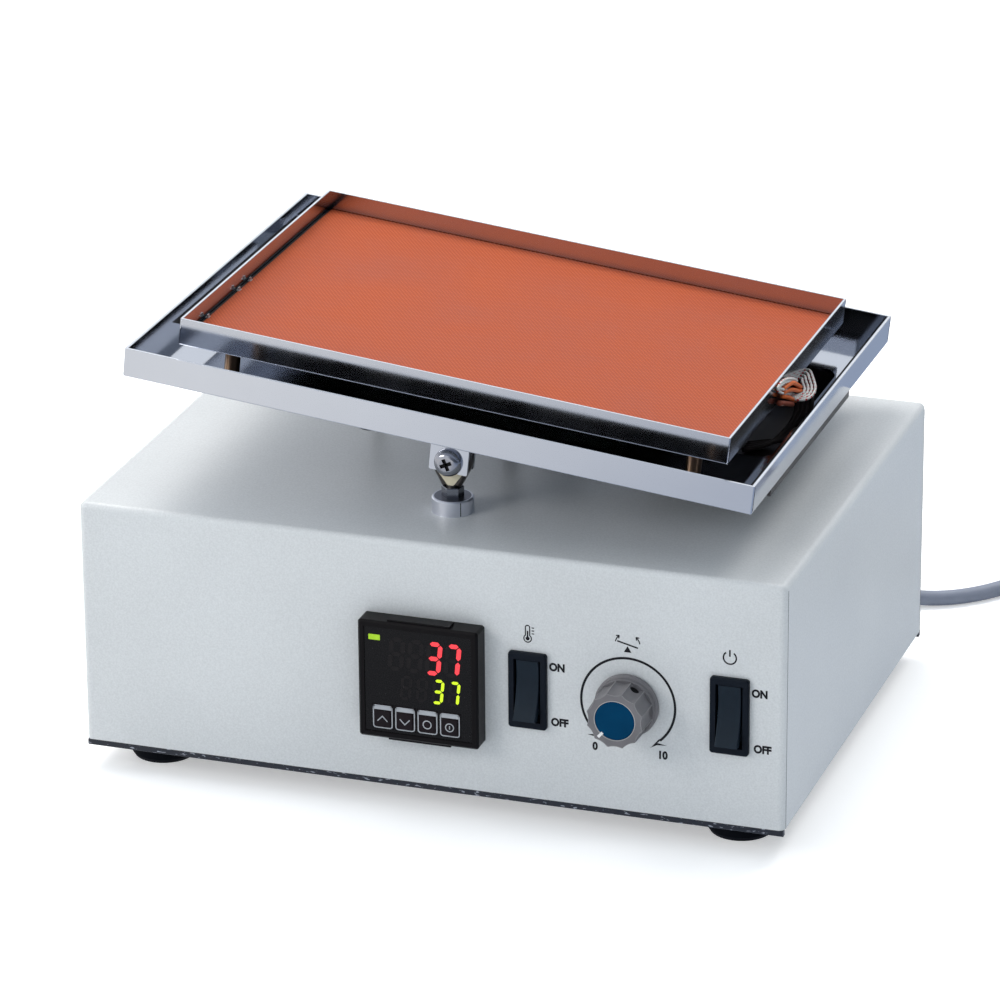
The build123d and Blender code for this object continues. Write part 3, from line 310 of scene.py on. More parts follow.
def painted(name, colour, roughness, chips_and_glints=None):
    """Baked paint with orange peel, a faint speckle, and light flecks of a given colour: bare metal
    chips and painted glints.
    """
    speckle, peel, chip_and_glint_size = 0.09, 0.7 * MM, 0.9 * MM
    finish = new_finish(name, colour, roughness)
    broad = grain(finish, 60 * MM)
    coat = tint(
        finish, mostly(finish, grain(finish, peel, 3.0), broad),
        (0.3, shade(colour, 1 - speckle)), (0.7, shade(colour, 1 + speckle)),
    )
    # Light flecks: bare metal where the paint has chipped, and painted glints.
    if chips_and_glints:
        chip_and_glint_mask = grain(finish, chip_and_glint_size, place=place_of(finish, stretch=(0.3, 1.0, 1.0)))
        coat = over(finish, spread(finish, chip_and_glint_mask, 0.0, 1.0, 0.62, 0.68), coat, chips_and_glints)
    wire_up(finish, "Base Color", coat)
    worn = spread(finish, broad, roughness - 0.04, roughness + 0.05, 0.3, 0.7)
    wire_up(finish, "Roughness", worn)
    relief(finish, grain(finish, peel), 0.012 * MM)
    return finish


def moulded(name, colour, roughness, texture=0.25 * MM, depth=0.006 * MM, gloss=0.2):
    """Moulded plastic or rubber with a spark-eroded texture."""
    finish = new_finish(name, colour, roughness, Specular_IOR_Level=gloss)
    fine = grain(finish, texture, 3.0)
    cloudy = grain(finish, 9 * MM)
    deep, pale = shade(colour, 0.92), shade(colour, 1.08)
    wire_up(finish, "Base Color", tint(finish, cloudy, (0.3, deep), (0.7, pale)))
    rubbed = spread(finish, fine, roughness - 0.05, roughness + 0.08, 0.3, 0.7)
    wire_up(finish, "Roughness", rubbed)
    relief(finish, fine, depth)
    return finish


def polished(name, colour, roughness, drawn=(1.0, 1.0, 1.0), smear=0.03, depth=0.0004 * MM):
    """Bright metal whose fine scratches run along the shortest of the drawn axes."""
    finish = new_finish(name, colour, roughness, 1.0)
    lines = grain(finish, 0.5 * MM, 4.0, place_of(finish, stretch=drawn))
    smudges = grain(finish, 25 * MM, 3.0)
    wire_up(finish, "Base Color", tint(finish, smudges, (0.3, shade(colour, 0.96)), (0.7, colour)))
    greasy = spread(finish, smudges, roughness - smear / 2, roughness + smear, 0.35, 0.7)
    wire_up(finish, "Roughness", greasy)
    relief(finish, lines, depth)
    return finish


def braided(name, colour, thread, tracer=None):
    """Round braid that follows the tube's own UV map, with spots of a tracer of a given colour."""
    finish = new_finish(name, colour, 0.75)
    along = node(finish, "ShaderNodeUVMap", {"uv_map": "along"}).outputs["UV"]
    crossings = []
    for turn in (radians(45), radians(-45)):
        lane = node(finish, "ShaderNodeMapping", Vector=along, Rotation=(0, 0, turn))
        crossings.append(stripes(finish, thread, lane.outputs["Vector"]))
    weave = combined(finish, "MAXIMUM", *crossings)
    # Darker where the threads pass under each other: painted shade in the weave.
    cloth = tint(finish, weave, (0.45, shade(colour, 0.55)), (0.9, colour))
    if tracer:
        ways = node(finish, "ShaderNodeSeparateXYZ", Vector=along).outputs

        def beat(way, pitch, share):
            counted = combined(finish, "DIVIDE", ways[way], pitch)
            return combined(finish, "LESS_THAN", combined(finish, "FRACT", counted, 0.0), share)

        spots = combined(finish, "MULTIPLY", beat("Y", 3.2 * MM, 0.28), beat("X", 1.9 * MM, 0.45))
        cloth = over(finish, spots, cloth, tracer)
    wire_up(finish, "Base Color", cloth)
    relief(finish, weave, thread * 0.25)
    return finish


def glowing(name, colour, strength):
    """A lit lamp behind its diffuser."""
    finish = new_finish(name, shade(colour, 0.5), 0.5, Emission_Strength=strength)
    shader = finish.node_tree.nodes["Principled BSDF"]
    shader.inputs["Emission Color"].default_value = (*colour, 1.0)
    wire_up(finish, "Base Color", tint(
        finish, grain(finish, 1.5 * MM), (0.3, shade(colour, 0.45)), (0.7, shade(colour, 0.6)),
    ))
    return finish


def ribbed_silicone():
    """Orange heater rubber pressed with fine ribs both ways, painted darker in the grooves as shade
    and lighter on the crests as highlight.
    """
    colour, groove_shade, crest = (0.452, 0.086, 0.023), (0.30, 0.045, 0.012), (0.52, 0.12, 0.036)
    finish = new_finish("orange_silicone", colour, 0.5, Specular_IOR_Level=0.2)
    ribs = combined(finish, "MULTIPLY", *[
        stripes(finish, 1.35 * MM, place_of(finish, (0, 0, radians(turn)))) for turn in (52, -38)
    ])
    dust = grain(finish, 40 * MM, 4.0)
    # Grooves painted darker and crests lighter: painted shade and highlight on the ribs.
    wire_up(finish, "Base Color", tint(
        finish, mostly(finish, ribs, dust), (0.05, groove_shade), (0.55, colour), (0.9, crest),
    ))
    wire_up(finish, "Roughness", spread(finish, dust, 0.42, 0.56, 0.3, 0.7))
    relief(finish, ribs, 0.05 * MM)
    return finish


def laminate():
    """Green circuit laminate with tin spots."""
    tin, track, ground = (0.6, 0.6, 0.58), (0.03, 0.17, 0.07), (0.015, 0.09, 0.04)
    finish = new_finish("green_laminate", (0.02, 0.12, 0.05), 0.35)
    spots = node(finish, "ShaderNodeTexVoronoi", Vector=place_of(finish), Scale=1.0 / (5 * MM))
    wire_up(finish, "Base Color", tint(
        finish, spots.outputs["Distance"], (0.0, tin), (0.10, tin), (0.13, track), (1.0, ground),
    ))
    return finish


STEEL = (0.61, 0.635, 0.69)
FINISH = {
    "casing_paint": painted("casing_paint", (0.66, 0.68, 0.69), 0.36),
    # The pan's light flecks are bare metal chips and painted glints along its hem.
    "pan_steel": painted("pan_paint", (0.010, 0.013, 0.022), 0.4, chips_and_glints=(0.34, 0.36, 0.42)),
    "motor_black": painted("motor_paint", (0.02, 0.02, 0.022), 0.4),
    "foot_rubber": moulded("foot_rubber", (0.005, 0.006, 0.009), 0.6, gloss=0.05),
    "grommet_rubber": moulded("grommet_rubber", (0.010, 0.010, 0.011), 0.55),
    "black_plastic": moulded("black_plastic", (0.012, 0.012, 0.013), 0.5),
    "controller_black": moulded(
        "controller_plastic", (0.005, 0.004, 0.0045), 0.33, 0.3 * MM, 0.003 * MM, 0.12,
    ),
    "smoked_window": moulded(
        "smoked_lens", (0.004, 0.0035, 0.004), 0.25, 0.5 * MM, 0.0005 * MM,
    ),
    "switch_black": moulded("switch_plastic", (0.0045, 0.008, 0.0145), 0.42, gloss=0.12),
    "rocker_black": moulded("rocker_plastic", (0.008, 0.016, 0.026), 0.38, gloss=0.16),
    "key_black": moulded("key_rubber", (0.010, 0.006, 0.008), 0.45, gloss=0.15),
    "knob_grey": moulded("knob_plastic", (0.174, 0.168, 0.178), 0.42, gloss=0.3),
    "knob_blue": moulded(
        "knob_cap_plastic", (0.0, 0.043, 0.110), 0.35, 6 * MM, 0.001 * MM, 0.04,
    ),
    "cord_pvc": moulded(
        "cord_sheath", (0.23, 0.255, 0.32), 0.45, 0.3 * MM, 0.004 * MM, 0.3,
    ),
    "board_green": laminate(),
    "mat_silicone": ribbed_silicone(),
    "stainless": polished("stainless_sheet", STEEL, 0.07, (0.02, 1.0, 1.0)),
    "chrome_screw": polished("chrome", (0.38, 0.39, 0.43), 0.10),
    "screw_steel": polished("screw_plating", (0.62, 0.63, 0.65), 0.22),
    "zinc_steel": polished("zinc_plating", (0.55, 0.56, 0.57), 0.32),
    "nut_steel": polished("nut_plating", (0.27, 0.28, 0.31), 0.24),
    "ball_steel": polished("bearing_steel", (0.6, 0.58, 0.52), 0.12),
    "rod_end_steel": polished("rod_end_steel", (0.075, 0.068, 0.065), 0.3),
    "collar_aluminium": polished(
        "turned_aluminium", (0.78, 0.80, 0.87), 0.34, (1.0, 1.0, 0.03), 0.05, 0.004 * MM,
    ),
    "gearhead_metal": polished("die_cast_zinc", (0.42, 0.42, 0.44), 0.45, smear=0.08),
    # The standoffs' brass is much darker than the blades' brass.
    "standoff_brass": polished("dark_brass", (0.15, 0.095, 0.06), 0.3),
    "blade_brass": polished("bright_brass", (0.72, 0.53, 0.26), 0.22),
    "lead_braid": braided(
        "glass_braid", (0.74, 0.74, 0.72), 0.45 * MM, tracer=(0.55, 0.02, 0.02),
    ),
    "lead_sleeve": braided("brown_sleeve", (0.16, 0.085, 0.05), 0.9 * MM),
}
INK_BLACK = moulded("panel_ink", (0.012, 0.011, 0.014), 0.5)
# The keys' light grey print, also used for a painted highlight along each key's top.
KEY_PRINT_AND_HIGHLIGHT = moulded("key_print_and_painted_highlight", (0.42, 0.44, 0.47), 0.5)
LAMP_RED = glowing("red_segments", (1.0, 0.045, 0.06), 0.9)
LAMP_GREEN = glowing("green_segments", (0.62, 0.86, 0.01), 0.85)
PILOT_GREEN = glowing("pilot_green", (0.30, 0.52, 0.01), 0.8)
UNLIT = moulded("unlit_segments", (0.009, 0.007, 0.0075), 0.3)
POINTER_WHITE = moulded("pointer_white", (0.8, 0.8, 0.8), 0.45)
SEAM_DARK = moulded("seam_shadow", (0.02, 0.02, 0.024), 0.6)
HOLE_DARK = moulded("hole_shadow", (0.004, 0.004, 0.005), 0.7)
ORANGE_LEAD = moulded("orange_lead", (0.66, 0.15, 0.04), 0.4)
RED_SLEEVE = moulded("red_sleeve", (0.24, 0.06, 0.035), 0.45)
DARK_SLEEVE = moulded("dark_sleeve", (0.022, 0.017, 0.016), 0.45)
# Light edges on the knob: painted highlight round the cap; wear and painted highlight on the rim
# and crests.
CAP_EDGE_HIGHLIGHT = moulded("knob_cap_edge_highlight", (0.42, 0.41, 0.41), 0.4)
WEAR_AND_HIGHLIGHT_EDGE = moulded("worn_and_highlit_edge", (0.27, 0.265, 0.27), 0.4)
# Steel darkened for the heater tray: a painted shade of the same sheet.
SHADED_STEEL_SHEET = polished("painted_shade_steel", shade(STEEL, 0.9), 0.12, (0.02, 1.0, 1.0))
# Cut edges brighter than the sheet: painted highlight.
CUT_EDGE_HIGHLIGHT = polished("cut_edge_painted_highlight", (0.86, 0.88, 0.91), 0.22)
# Dark strips that the tray's walls mirror: painted shade.
SHADE_STRIP = moulded("mirrored_shade_strip", (0.006, 0.006, 0.007), 0.5, 0.4 * MM, 0.004 * MM, 0.1)
# Dark sheet for the wiring cover, so that the tray's window shows painted shade.
WINDOW_SHADE_SHEET = polished("wiring_cover_shade", (0.07, 0.065, 0.065), 0.35, smear=0.06)
# Dark face in each collar's top recess: painted shade.
COLLAR_RECESS_SHADE = polished("collar_recess_painted_shade", (0.20, 0.21, 0.25), 0.4, smear=0.05)
IVORY = moulded("passivated_face", (0.70, 0.63, 0.47), 0.45)


def finish_cad_nodes():
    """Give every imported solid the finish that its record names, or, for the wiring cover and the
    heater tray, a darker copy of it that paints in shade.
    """
    own = {"wiring_cover": WINDOW_SHADE_SHEET, "heater_tray": SHADED_STEEL_SHEET}
    slots = {part["node"]: part["material_slot"] for part in frame["record"]["subparts"]}
    for name, solid in nodes.items():
        solid.data.materials.clear()
        solid.data.materials.append(own.get(name, FINISH[slots[name]]))


# Shapes

def filled(name, build, place=Matrix()):
    """A mesh that build(shape) fills in the frame of place, with its faces outwards."""
    shape = bmesh.new()
    build(shape)
    shape.transform(place)
    bmesh.ops.recalc_face_normals(shape, faces=shape.faces)
    mesh = bpy.data.meshes.new(name)
    shape.to_mesh(mesh)
    shape.free()
    return mesh


def add_piece(name, build, finish, body, place=Matrix()):
    """A new piece that build(shape) fills in the frame of place, riding on a body."""
    return add_mesh(name, filled(name, build, place), finish, body)


def add_mesh(name, mesh, finish, body, smooth=False):
    """A new piece from a mesh that is already in place."""
    piece = bpy.data.objects.new(name, mesh)
    bpy.context.scene.collection.objects.link(piece)
    mesh.materials.clear()
    mesh.materials.append(finish)
    for face in mesh.polygons:
        face.use_smooth = smooth
    if body:
        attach(piece, body)
    return piece


def bevel(piece, width, segments=2):
    """Round a piece's sharp edges."""
    rounding = piece.modifiers.new("edges", "BEVEL")
    rounding.width = width
    rounding.segments = segments
    rounding.limit_method = "ANGLE"
    rounding.angle_limit = radians(40)
    rounding.harden_normals = True
    for face in piece.data.polygons:
        face.use_smooth = True
    return piece


def prism(shape, outline, low, high, place=Matrix()):
    """A flat outline given thickness along the frame's Z."""
    rings = [[shape.verts.new(place @ Vector((x, y, z))) for x, y in outline] for z in (low, high)]
    shape.faces.new(rings[0][::-1])
    shape.faces.new(rings[1])
    for a in range(len(outline)):
        b = (a + 1) % len(outline)
        shape.faces.new((rings[0][a], rings[0][b], rings[1][b], rings[1][a]))


def band(shape, line, width, low, high, place=Matrix(), closed=False):
    """A line of even width given thickness along the frame's Z."""
    count = len(line)
    line = [Vector(point) for point in line]
    edges = []
    for index, point in enumerate(line):
        before = line[index - 1] if index or closed else point
        after = line[(index + 1) % count] if index < count - 1 or closed else point
        ways = [way.normalized() for way in (point - before, after - point) if way.length > 1e-9]
        heading = sum(ways, Vector((0.0, 0.0))).normalized()
        squeeze = max(heading.dot(ways[0]), SHARPEST_MITRE)
        across = Vector((-heading.y, heading.x)) * (width / 2) / squeeze
        corners = [point + across, point - across]
        edges.append([
            shape.verts.new(place @ Vector((*corner, z))) for z in (low, high) for corner in corners
        ])
    for a in range(count if closed else count - 1):
        one, two = edges[a], edges[(a + 1) % count]
        for left, right in ((0, 1), (1, 3), (3, 2), (2, 0)):
            shape.faces.new((one[left], one[right], two[right], two[left]))
    if not closed:
        for end in (edges[0], edges[-1]):
            shape.faces.new((end[0], end[1], end[3], end[2]))


def oblong(width, height, x=0.0, y=0.0):
    """Outline of a rectangle about a place."""
    corners = ((-1, -1), (1, -1), (1, 1), (-1, 1))
    return [(x + across * width / 2, y + up * height / 2) for across, up in corners]


def rounded(width, height, radius, steps=5):
    """Outline of a rectangle with round corners, about its middle."""
    outline = []
    for corner, (across, up) in enumerate(((1, 1), (-1, 1), (-1, -1), (1, -1))):
        for step in range(steps + 1):
            bearing = pi / 2 * (corner + step / steps)
            outline.append((
                across * (width / 2 - radius) + radius * cos(bearing),
                up * (height / 2 - radius) + radius * sin(bearing),
            ))
    return outline


def arc(radius, start, stop, steps=48):
    """Points on a circle about the frame's origin, from one bearing to another."""
    bearings = [start + (stop - start) * step / steps for step in range(steps + 1)]
    return [(radius * cos(bearing), radius * sin(bearing)) for bearing in bearings]


def disc(shape, radius, low, high, place=Matrix(), steps=40):
    """A round plate."""
    prism(shape, arc(radius, 0, 2 * pi * (1 - 1 / steps), steps - 1), low, high, place)


def plain_mesh(carrier):
    """The mesh that a loose object comes to; the object and its data go."""
    bpy.context.scene.collection.objects.link(carrier)
    bpy.context.view_layer.update()
    evaluated = carrier.evaluated_get(bpy.context.evaluated_depsgraph_get())
    mesh = bpy.data.meshes.new_from_object(evaluated)
    bpy.data.batch_remove((carrier, carrier.data))
    return mesh


def lettering(shape, text, height, place):
    """Bold, narrow print, centred at the frame's origin."""
    curve = bpy.data.curves.new("print", "FONT")
    curve.body = text
    curve.size = height / CAPITAL_SHARE
    curve.offset = height * 0.07
    curve.extrude = INK / 2
    curve.align_x = curve.align_y = "CENTER"
    mesh = plain_mesh(bpy.data.objects.new("print", curve))
    mesh.transform(shifted(place, z=INK / 2) @ Matrix.Diagonal((0.9, 1, 1, 1)))
    shape.from_mesh(mesh)
    bpy.data.meshes.remove(mesh)


def new_spline(name, points):
    """An open curve whose smooth line has these control points."""
    curve = bpy.data.curves.new(name, "CURVE")
    curve.dimensions = "3D"
    spline = curve.splines.new("NURBS")
    spline.points.add(len(points) - 1)
    for knot, point in zip(spline.points, points):
        knot.co = (*point, 1.0)
    spline.order_u = 3
    spline.use_endpoint_u = True
    spline.resolution_u = 6
    return curve


def smooth_line(points):
    """Points along the smooth line of a route."""
    mesh = plain_mesh(bpy.data.objects.new("route", new_spline("route", points)))
    line = [vertex.co.copy() for vertex in mesh.vertices]
    bpy.data.meshes.remove(mesh)
    return line


def tube(shape, line, radius, sides=12):
    """A round tube along a line, with a UV map in metres round it and along it."""
    along_map = shape.loops.layers.uv.verify()
    run, rings, travelled = 0.0, [], []
    side = (line[1] - line[0]).orthogonal().normalized()
    for index, point in enumerate(line):
        before, after = line[max(index - 1, 0)], line[min(index + 1, len(line) - 1)]
        heading = (after - before).normalized()
        side = (side - heading * side.dot(heading)).normalized()
        other = heading.cross(side)
        run += (point - line[index - 1]).length if index else 0.0
        travelled.append(run)
        rings.append([
            shape.verts.new(point + (side * across + other * up) * radius)
            for across, up in arc(1, 0, 2 * pi, sides)[:-1]
        ])
    for a, (ring, following) in enumerate(zip(rings, rings[1:])):
        for k in range(sides):
            beside = (k + 1) % sides
            face = shape.faces.new((ring[k], ring[beside], following[beside], following[k]))
            face.smooth = True
            spots = ((k, a), (k + 1, a), (k + 1, a + 1), (k, a + 1))
            for loop, (turn, station) in zip(face.loops, spots):
                loop[along_map].uv = (2 * pi * radius * turn / sides, travelled[station])
    shape.faces.new(rings[0][::-1])
    shape.faces.new(rings[-1])


def add_tubes(name, lines, radius, finish, body, sides=12):
    """Round tubes as one piece, with the UV map that a braid follows."""
    def tubes(shape):
        for line in lines:
            tube(shape, line, radius, sides)

    mesh = filled(name, tubes)
    mesh.uv_layers[0].name = "along"
    return add_mesh(name, mesh, finish, body, smooth=True)


# Repeated shapes, by Geometry Nodes

def new_tree(name, sizes):
    """A node tree with named inputs for its sizes and a geometry output."""
    tree = bpy.data.node_groups.new(name, "GeometryNodeTree")
    for label, kind in sizes.items():
        tree.interface.new_socket(label, in_out="INPUT", socket_type=kind)
    tree.interface.new_socket("Geometry", in_out="OUTPUT", socket_type="NodeSocketGeometry")
    return tree, tree.nodes.new("NodeGroupInput"), tree.nodes.new("NodeGroupOutput")


def close_tree(tree, instances, output):
    """End a tree in real geometry with its finish."""
    real = add_node(tree, "GeometryNodeRealizeInstances", Geometry=instances)
    last = add_node(tree, "GeometryNodeSetMaterial", Geometry=real.outputs["Geometry"])
    tree.links.new(tree.nodes["Group Input"].outputs["Finish"], last.inputs["Material"])
    tree.links.new(last.outputs["Geometry"], output.inputs["Geometry"])


def tapered_ribs_tree():
    """Round ribs in a row along Z whose radius runs from root to tip."""
    tree, sizes, output = new_tree("tapered_ribs", {
        "Ribs": "NodeSocketInt", "Pitch": "NodeSocketFloat", "Thickness": "NodeSocketFloat",
        "Root": "NodeSocketFloat", "Tip": "NodeSocketFloat", "Finish": "NodeSocketMaterial",
    })
    step = add_node(tree, "ShaderNodeCombineXYZ", Z=sizes.outputs["Pitch"])
    row = add_node(
        tree, "GeometryNodeMeshLine", Count=sizes.outputs["Ribs"], Offset=step.outputs["Vector"],
    )
    rib = add_node(
        tree, "GeometryNodeMeshCylinder", Vertices=32, Radius=1.0, Depth=sizes.outputs["Thickness"],
    )
    last = add_node(
        tree, "ShaderNodeMath", {"operation": "SUBTRACT"}, _0=sizes.outputs["Ribs"], _1=1.0,
    )
    radius = add_node(
        tree, "ShaderNodeMapRange", Value=add_node(tree, "GeometryNodeInputIndex").outputs["Index"],
        From_Max=last.outputs[0], To_Min=sizes.outputs["Root"], To_Max=sizes.outputs["Tip"],
    )
    scale = add_node(
        tree, "ShaderNodeCombineXYZ", X=radius.outputs["Result"], Y=radius.outputs["Result"], Z=1.0,
    )
    placed = add_node(
        tree, "GeometryNodeInstanceOnPoints", Points=row.outputs["Mesh"],
        Instance=rib.outputs["Mesh"], Scale=scale.outputs["Vector"],
    )
    close_tree(tree, placed.outputs["Instances"], output)
    return tree


def screw_row_tree():
    """Pan-head screws in a row along X, with a flat cone for the head's crown."""
    tree, sizes, output = new_tree("screw_row", {
        "Screws": "NodeSocketInt", "Pitch": "NodeSocketFloat", "Radius": "NodeSocketFloat",
        "Height": "NodeSocketFloat", "Finish": "NodeSocketMaterial",
    })
    step = add_node(tree, "ShaderNodeCombineXYZ", X=sizes.outputs["Pitch"])
    row = add_node(
        tree, "GeometryNodeMeshLine", Count=sizes.outputs["Screws"], Offset=step.outputs["Vector"],
    )
    crown_share = 0.72
    crown = add_node(
        tree, "ShaderNodeMath", {"operation": "MULTIPLY"}, _0=sizes.outputs["Radius"],
        _1=crown_share,
    )
    head = add_node(
        tree, "GeometryNodeMeshCone", Vertices=24, Radius_Top=crown.outputs[0],
        Radius_Bottom=sizes.outputs["Radius"], Depth=sizes.outputs["Height"],
    )
    placed = add_node(
        tree, "GeometryNodeInstanceOnPoints", Points=row.outputs["Mesh"],
        Instance=head.outputs["Mesh"],
    )
    close_tree(tree, placed.outputs["Instances"], output)
    return tree


def grown(name, tree, values, place, body):
    """Run a tree with these inputs and keep the result as a plain piece, placed in its mesh."""
    carrier = bpy.data.objects.new(name, bpy.data.meshes.new(name))
    growth = carrier.modifiers.new("growth", "NODES")
    growth.node_group = tree
    for item in tree.interface.items_tree:
        if item.in_out == "INPUT" and item.name in values:
            growth[item.identifier] = values[item.name]
    mesh = plain_mesh(carrier)
    mesh.name = name
    mesh.transform(place)
    return add_mesh(name, mesh, values["Finish"], body)


# Camera, stage and light

def place_camera():
    """The photograph's view, from the right of the front and above."""
    back = Vector((
        sin(CAMERA_AZIMUTH) * cos(CAMERA_ELEVATION),
        -cos(CAMERA_AZIMUTH) * cos(CAMERA_ELEVATION),
        sin(CAMERA_ELEVATION),
    ))
    lens = bpy.data.cameras.new("camera")
    lens.lens = LENS
    lens.sensor_width = SENSOR
    lens.clip_start, lens.clip_end = 0.1, 50.0
    camera = bpy.data.objects.new("camera", lens)
    bpy.context.scene.collection.objects.link(camera)
    facing = (-back).to_track_quat("-Z", "Y").to_matrix().to_4x4()
    roll = Matrix.Rotation(CAMERA_ROLL, 4, "Z")
    camera.matrix_world = Matrix.Translation(CAMERA_TARGET + back * CAMERA_DISTANCE) @ facing @ roll
    bpy.context.scene.camera = camera


def soft_box(name, place, aim, width, height, power, colour):
    """A rectangular lamp that points at a place."""
    lamp = bpy.data.lights.new(name, "AREA")
    lamp.shape = "RECTANGLE"
    lamp.size, lamp.size_y = width, height
    lamp.energy = power
    lamp.color = colour
    carrier = bpy.data.objects.new(name, lamp)
    bpy.context.scene.collection.objects.link(carrier)
    facing = (Vector(aim) - Vector(place)).to_track_quat("-Z", "Y").to_matrix().to_4x4()
    carrier.matrix_world = Matrix.Translation(place) @ facing


def chosen_by_ray(tree, usual, choices):
    """One shader for most rays, and another for each kind of ray that is named."""
    rays = add_node(tree, "ShaderNodeLightPath").outputs
    for ray, special in choices:
        usual = add_node(tree, "ShaderNodeMixShader", _0=rays[ray], _1=usual, _2=special).outputs[0]
    return usual


def ramp_over(tree, value, low, high, stops):
    """Colours over a value's range; each stop is a value and a colour."""
    share = add_node(tree, "ShaderNodeMapRange", Value=value, From_Min=low, From_Max=high)
    ramp = add_node(tree, "ShaderNodeValToRGB", Fac=share.outputs["Result"])
    return with_stops(ramp, [((stop - low) / (high - low), colour) for stop, colour in stops])


def light_studio():
    """A white room whose right side mirrors darker, and its lamps."""
    world = bpy.data.worlds.new("studio")
    bpy.context.scene.world = world
    world.use_nodes = True
    tree = world.node_tree
    tree.nodes.clear()
    facing = add_node(tree, "ShaderNodeTexCoord").outputs["Generated"]
    sideways = add_node(tree, "ShaderNodeSeparateXYZ", _0=facing).outputs["X"]
    mirror = ramp_over(tree, sideways, -1.0, 1.0, (
        (-1.0, (0.95, 0.97, 1.0)), (-0.16, (0.88, 0.92, 0.98)),
        (0.12, (0.24, 0.27, 0.33)), (0.6, (0.10, 0.12, 0.15)),
    ))
    ambient, seen, mirrored = [
        add_node(tree, "ShaderNodeBackground", Color=colour, Strength=strength).outputs[0]
        for colour, strength in (
            ((*COOL, 1.0), AMBIENT), ((1.0, 1.0, 1.0, 1.0), 1.0), (mirror, 1.0),
        )
    ]
    shown = chosen_by_ray(tree, ambient, (
        ("Is Glossy Ray", mirrored), ("Is Transmission Ray", mirrored), ("Is Camera Ray", seen),
    ))
    add_node(tree, "ShaderNodeOutputWorld", Surface=shown)
    for lamp in LAMPS:
        soft_box(*lamp)


def lay_floor():
    """A white floor that keeps the object's shadow and mirrors darker to the right."""
    floor = new_finish("white_floor", (0.82, 0.83, 0.84), 0.9, Specular_IOR_Level=0.0)
    tree = floor.node_tree
    shader = tree.nodes["Principled BSDF"]
    shader.inputs["Emission Color"].default_value = (1.0, 1.0, 1.0, 1.0)
    seen = node(floor, "ShaderNodeLightPath").outputs["Is Camera Ray"]
    wire_up(floor, "Emission Strength", combined(floor, "MULTIPLY", seen, FLOOR_LIFT))

    slant = 0.3  # how much of a step back counts as a step to the right
    parts = node(floor, "ShaderNodeSeparateXYZ", Vector=place_of(floor)).outputs
    sideways = combined(floor, "ADD", parts["X"], combined(floor, "MULTIPLY", parts["Y"], slant))
    mirrored = node(floor, "ShaderNodeEmission", Color=ramp_over(tree, sideways, -0.6, 0.6, (
        (-0.40, (1.0, 1.0, 1.0)), (-0.23, (0.80, 0.82, 0.86)), (-0.11, (0.62, 0.66, 0.74)),
        (0.28, (0.36, 0.43, 0.57)), (0.6, (0.25, 0.30, 0.40)),
    )))
    shown = chosen_by_ray(tree, shader.outputs[0], [("Is Glossy Ray", mirrored.outputs[0])])
    tree.links.new(shown, tree.nodes["Material Output"].inputs["Surface"])

    reach = 9.0
    mesh = bpy.data.meshes.new("floor")
    corners = [(*corner, 0) for corner in oblong(2 * reach, 2 * reach)]
    mesh.from_pydata(corners, [], [(0, 1, 2, 3)])
    mesh.materials.append(floor)
    plane = bpy.data.objects.new("floor", mesh)
    bpy.context.scene.collection.objects.link(plane)


# Mains cord

def coil_points():
    """Turns of the coil: in, up one layer, and out again, then a short straight tail."""
    entry, before = Vector(CORD_ROUTE[-1]), Vector(CORD_ROUTE[-2])
    heading = (entry - before).normalized()
    slope = atan2(COIL_PITCH / (2 * pi), COIL_OUTER)
    bearing = atan2(heading.y, heading.x) + pi / 2 + slope
    first = entry + heading * CORD_D
    middle = first - Vector((cos(bearing), sin(bearing), 0)) * COIL_OUTER
    total = 2 * pi * COIL_TURNS
    steps = int(COIL_TURNS * COIL_POINTS_A_TURN)

    def at(turned):
        radius = COIL_OUTER - COIL_PITCH * min(turned, total - turned) / (2 * pi)
        climbed = min(max((turned - total / 2) / pi + 0.5, 0.0), 1.0)
        rise = COIL_PITCH * (1 - cos(pi * climbed)) / 2
        heading = bearing - turned
        return middle + Vector((radius * cos(heading), radius * sin(heading), rise))

    turns = [at(total * step / steps) for step in range(steps + 1)]
    just_before = total - 0.01
    leaving = (at(total) - at(just_before)).normalized()
    return turns + [turns[-1] + leaving * COIL_TAIL * share for share in (0.5, 1.0)]


def lay_cord():
    """The whole cord as one smooth curve, with the ribs of its strain relief."""
    route = [Vector(point) for point in CORD_ROUTE]
    curve = new_spline("mains_cord", route + coil_points())
    curve.bevel_depth = CORD_D / 2
    curve.bevel_resolution = 5
    curve.use_fill_caps = True
    curve.materials.append(FINISH["cord_pvc"])
    cord = bpy.data.objects.new("mains_cord", curve)
    bpy.context.scene.collection.objects.link(cord)
    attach(cord, "base")
    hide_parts("power_cord", "cord_coil")

    leaving = (route[1] - route[0]).normalized()
    ribs, pitch = 6, 2.1 * MM
    foot = route[0] - leaving * pitch * (ribs - 1)
    aim = Matrix.Translation(foot) @ leaving.to_track_quat("Z", "Y").to_matrix().to_4x4()
    relief_ribs = grown("strain_relief_ribs", tapered_ribs_tree(), {
        "Ribs": ribs, "Pitch": pitch, "Thickness": 1.2 * MM, "Root": 5.6 * MM, "Tip": 4.1 * MM,
        "Finish": FINISH["cord_pvc"],
    }, aim, "base")
    bevel(relief_ribs, 0.25 * MM)


# Front panel

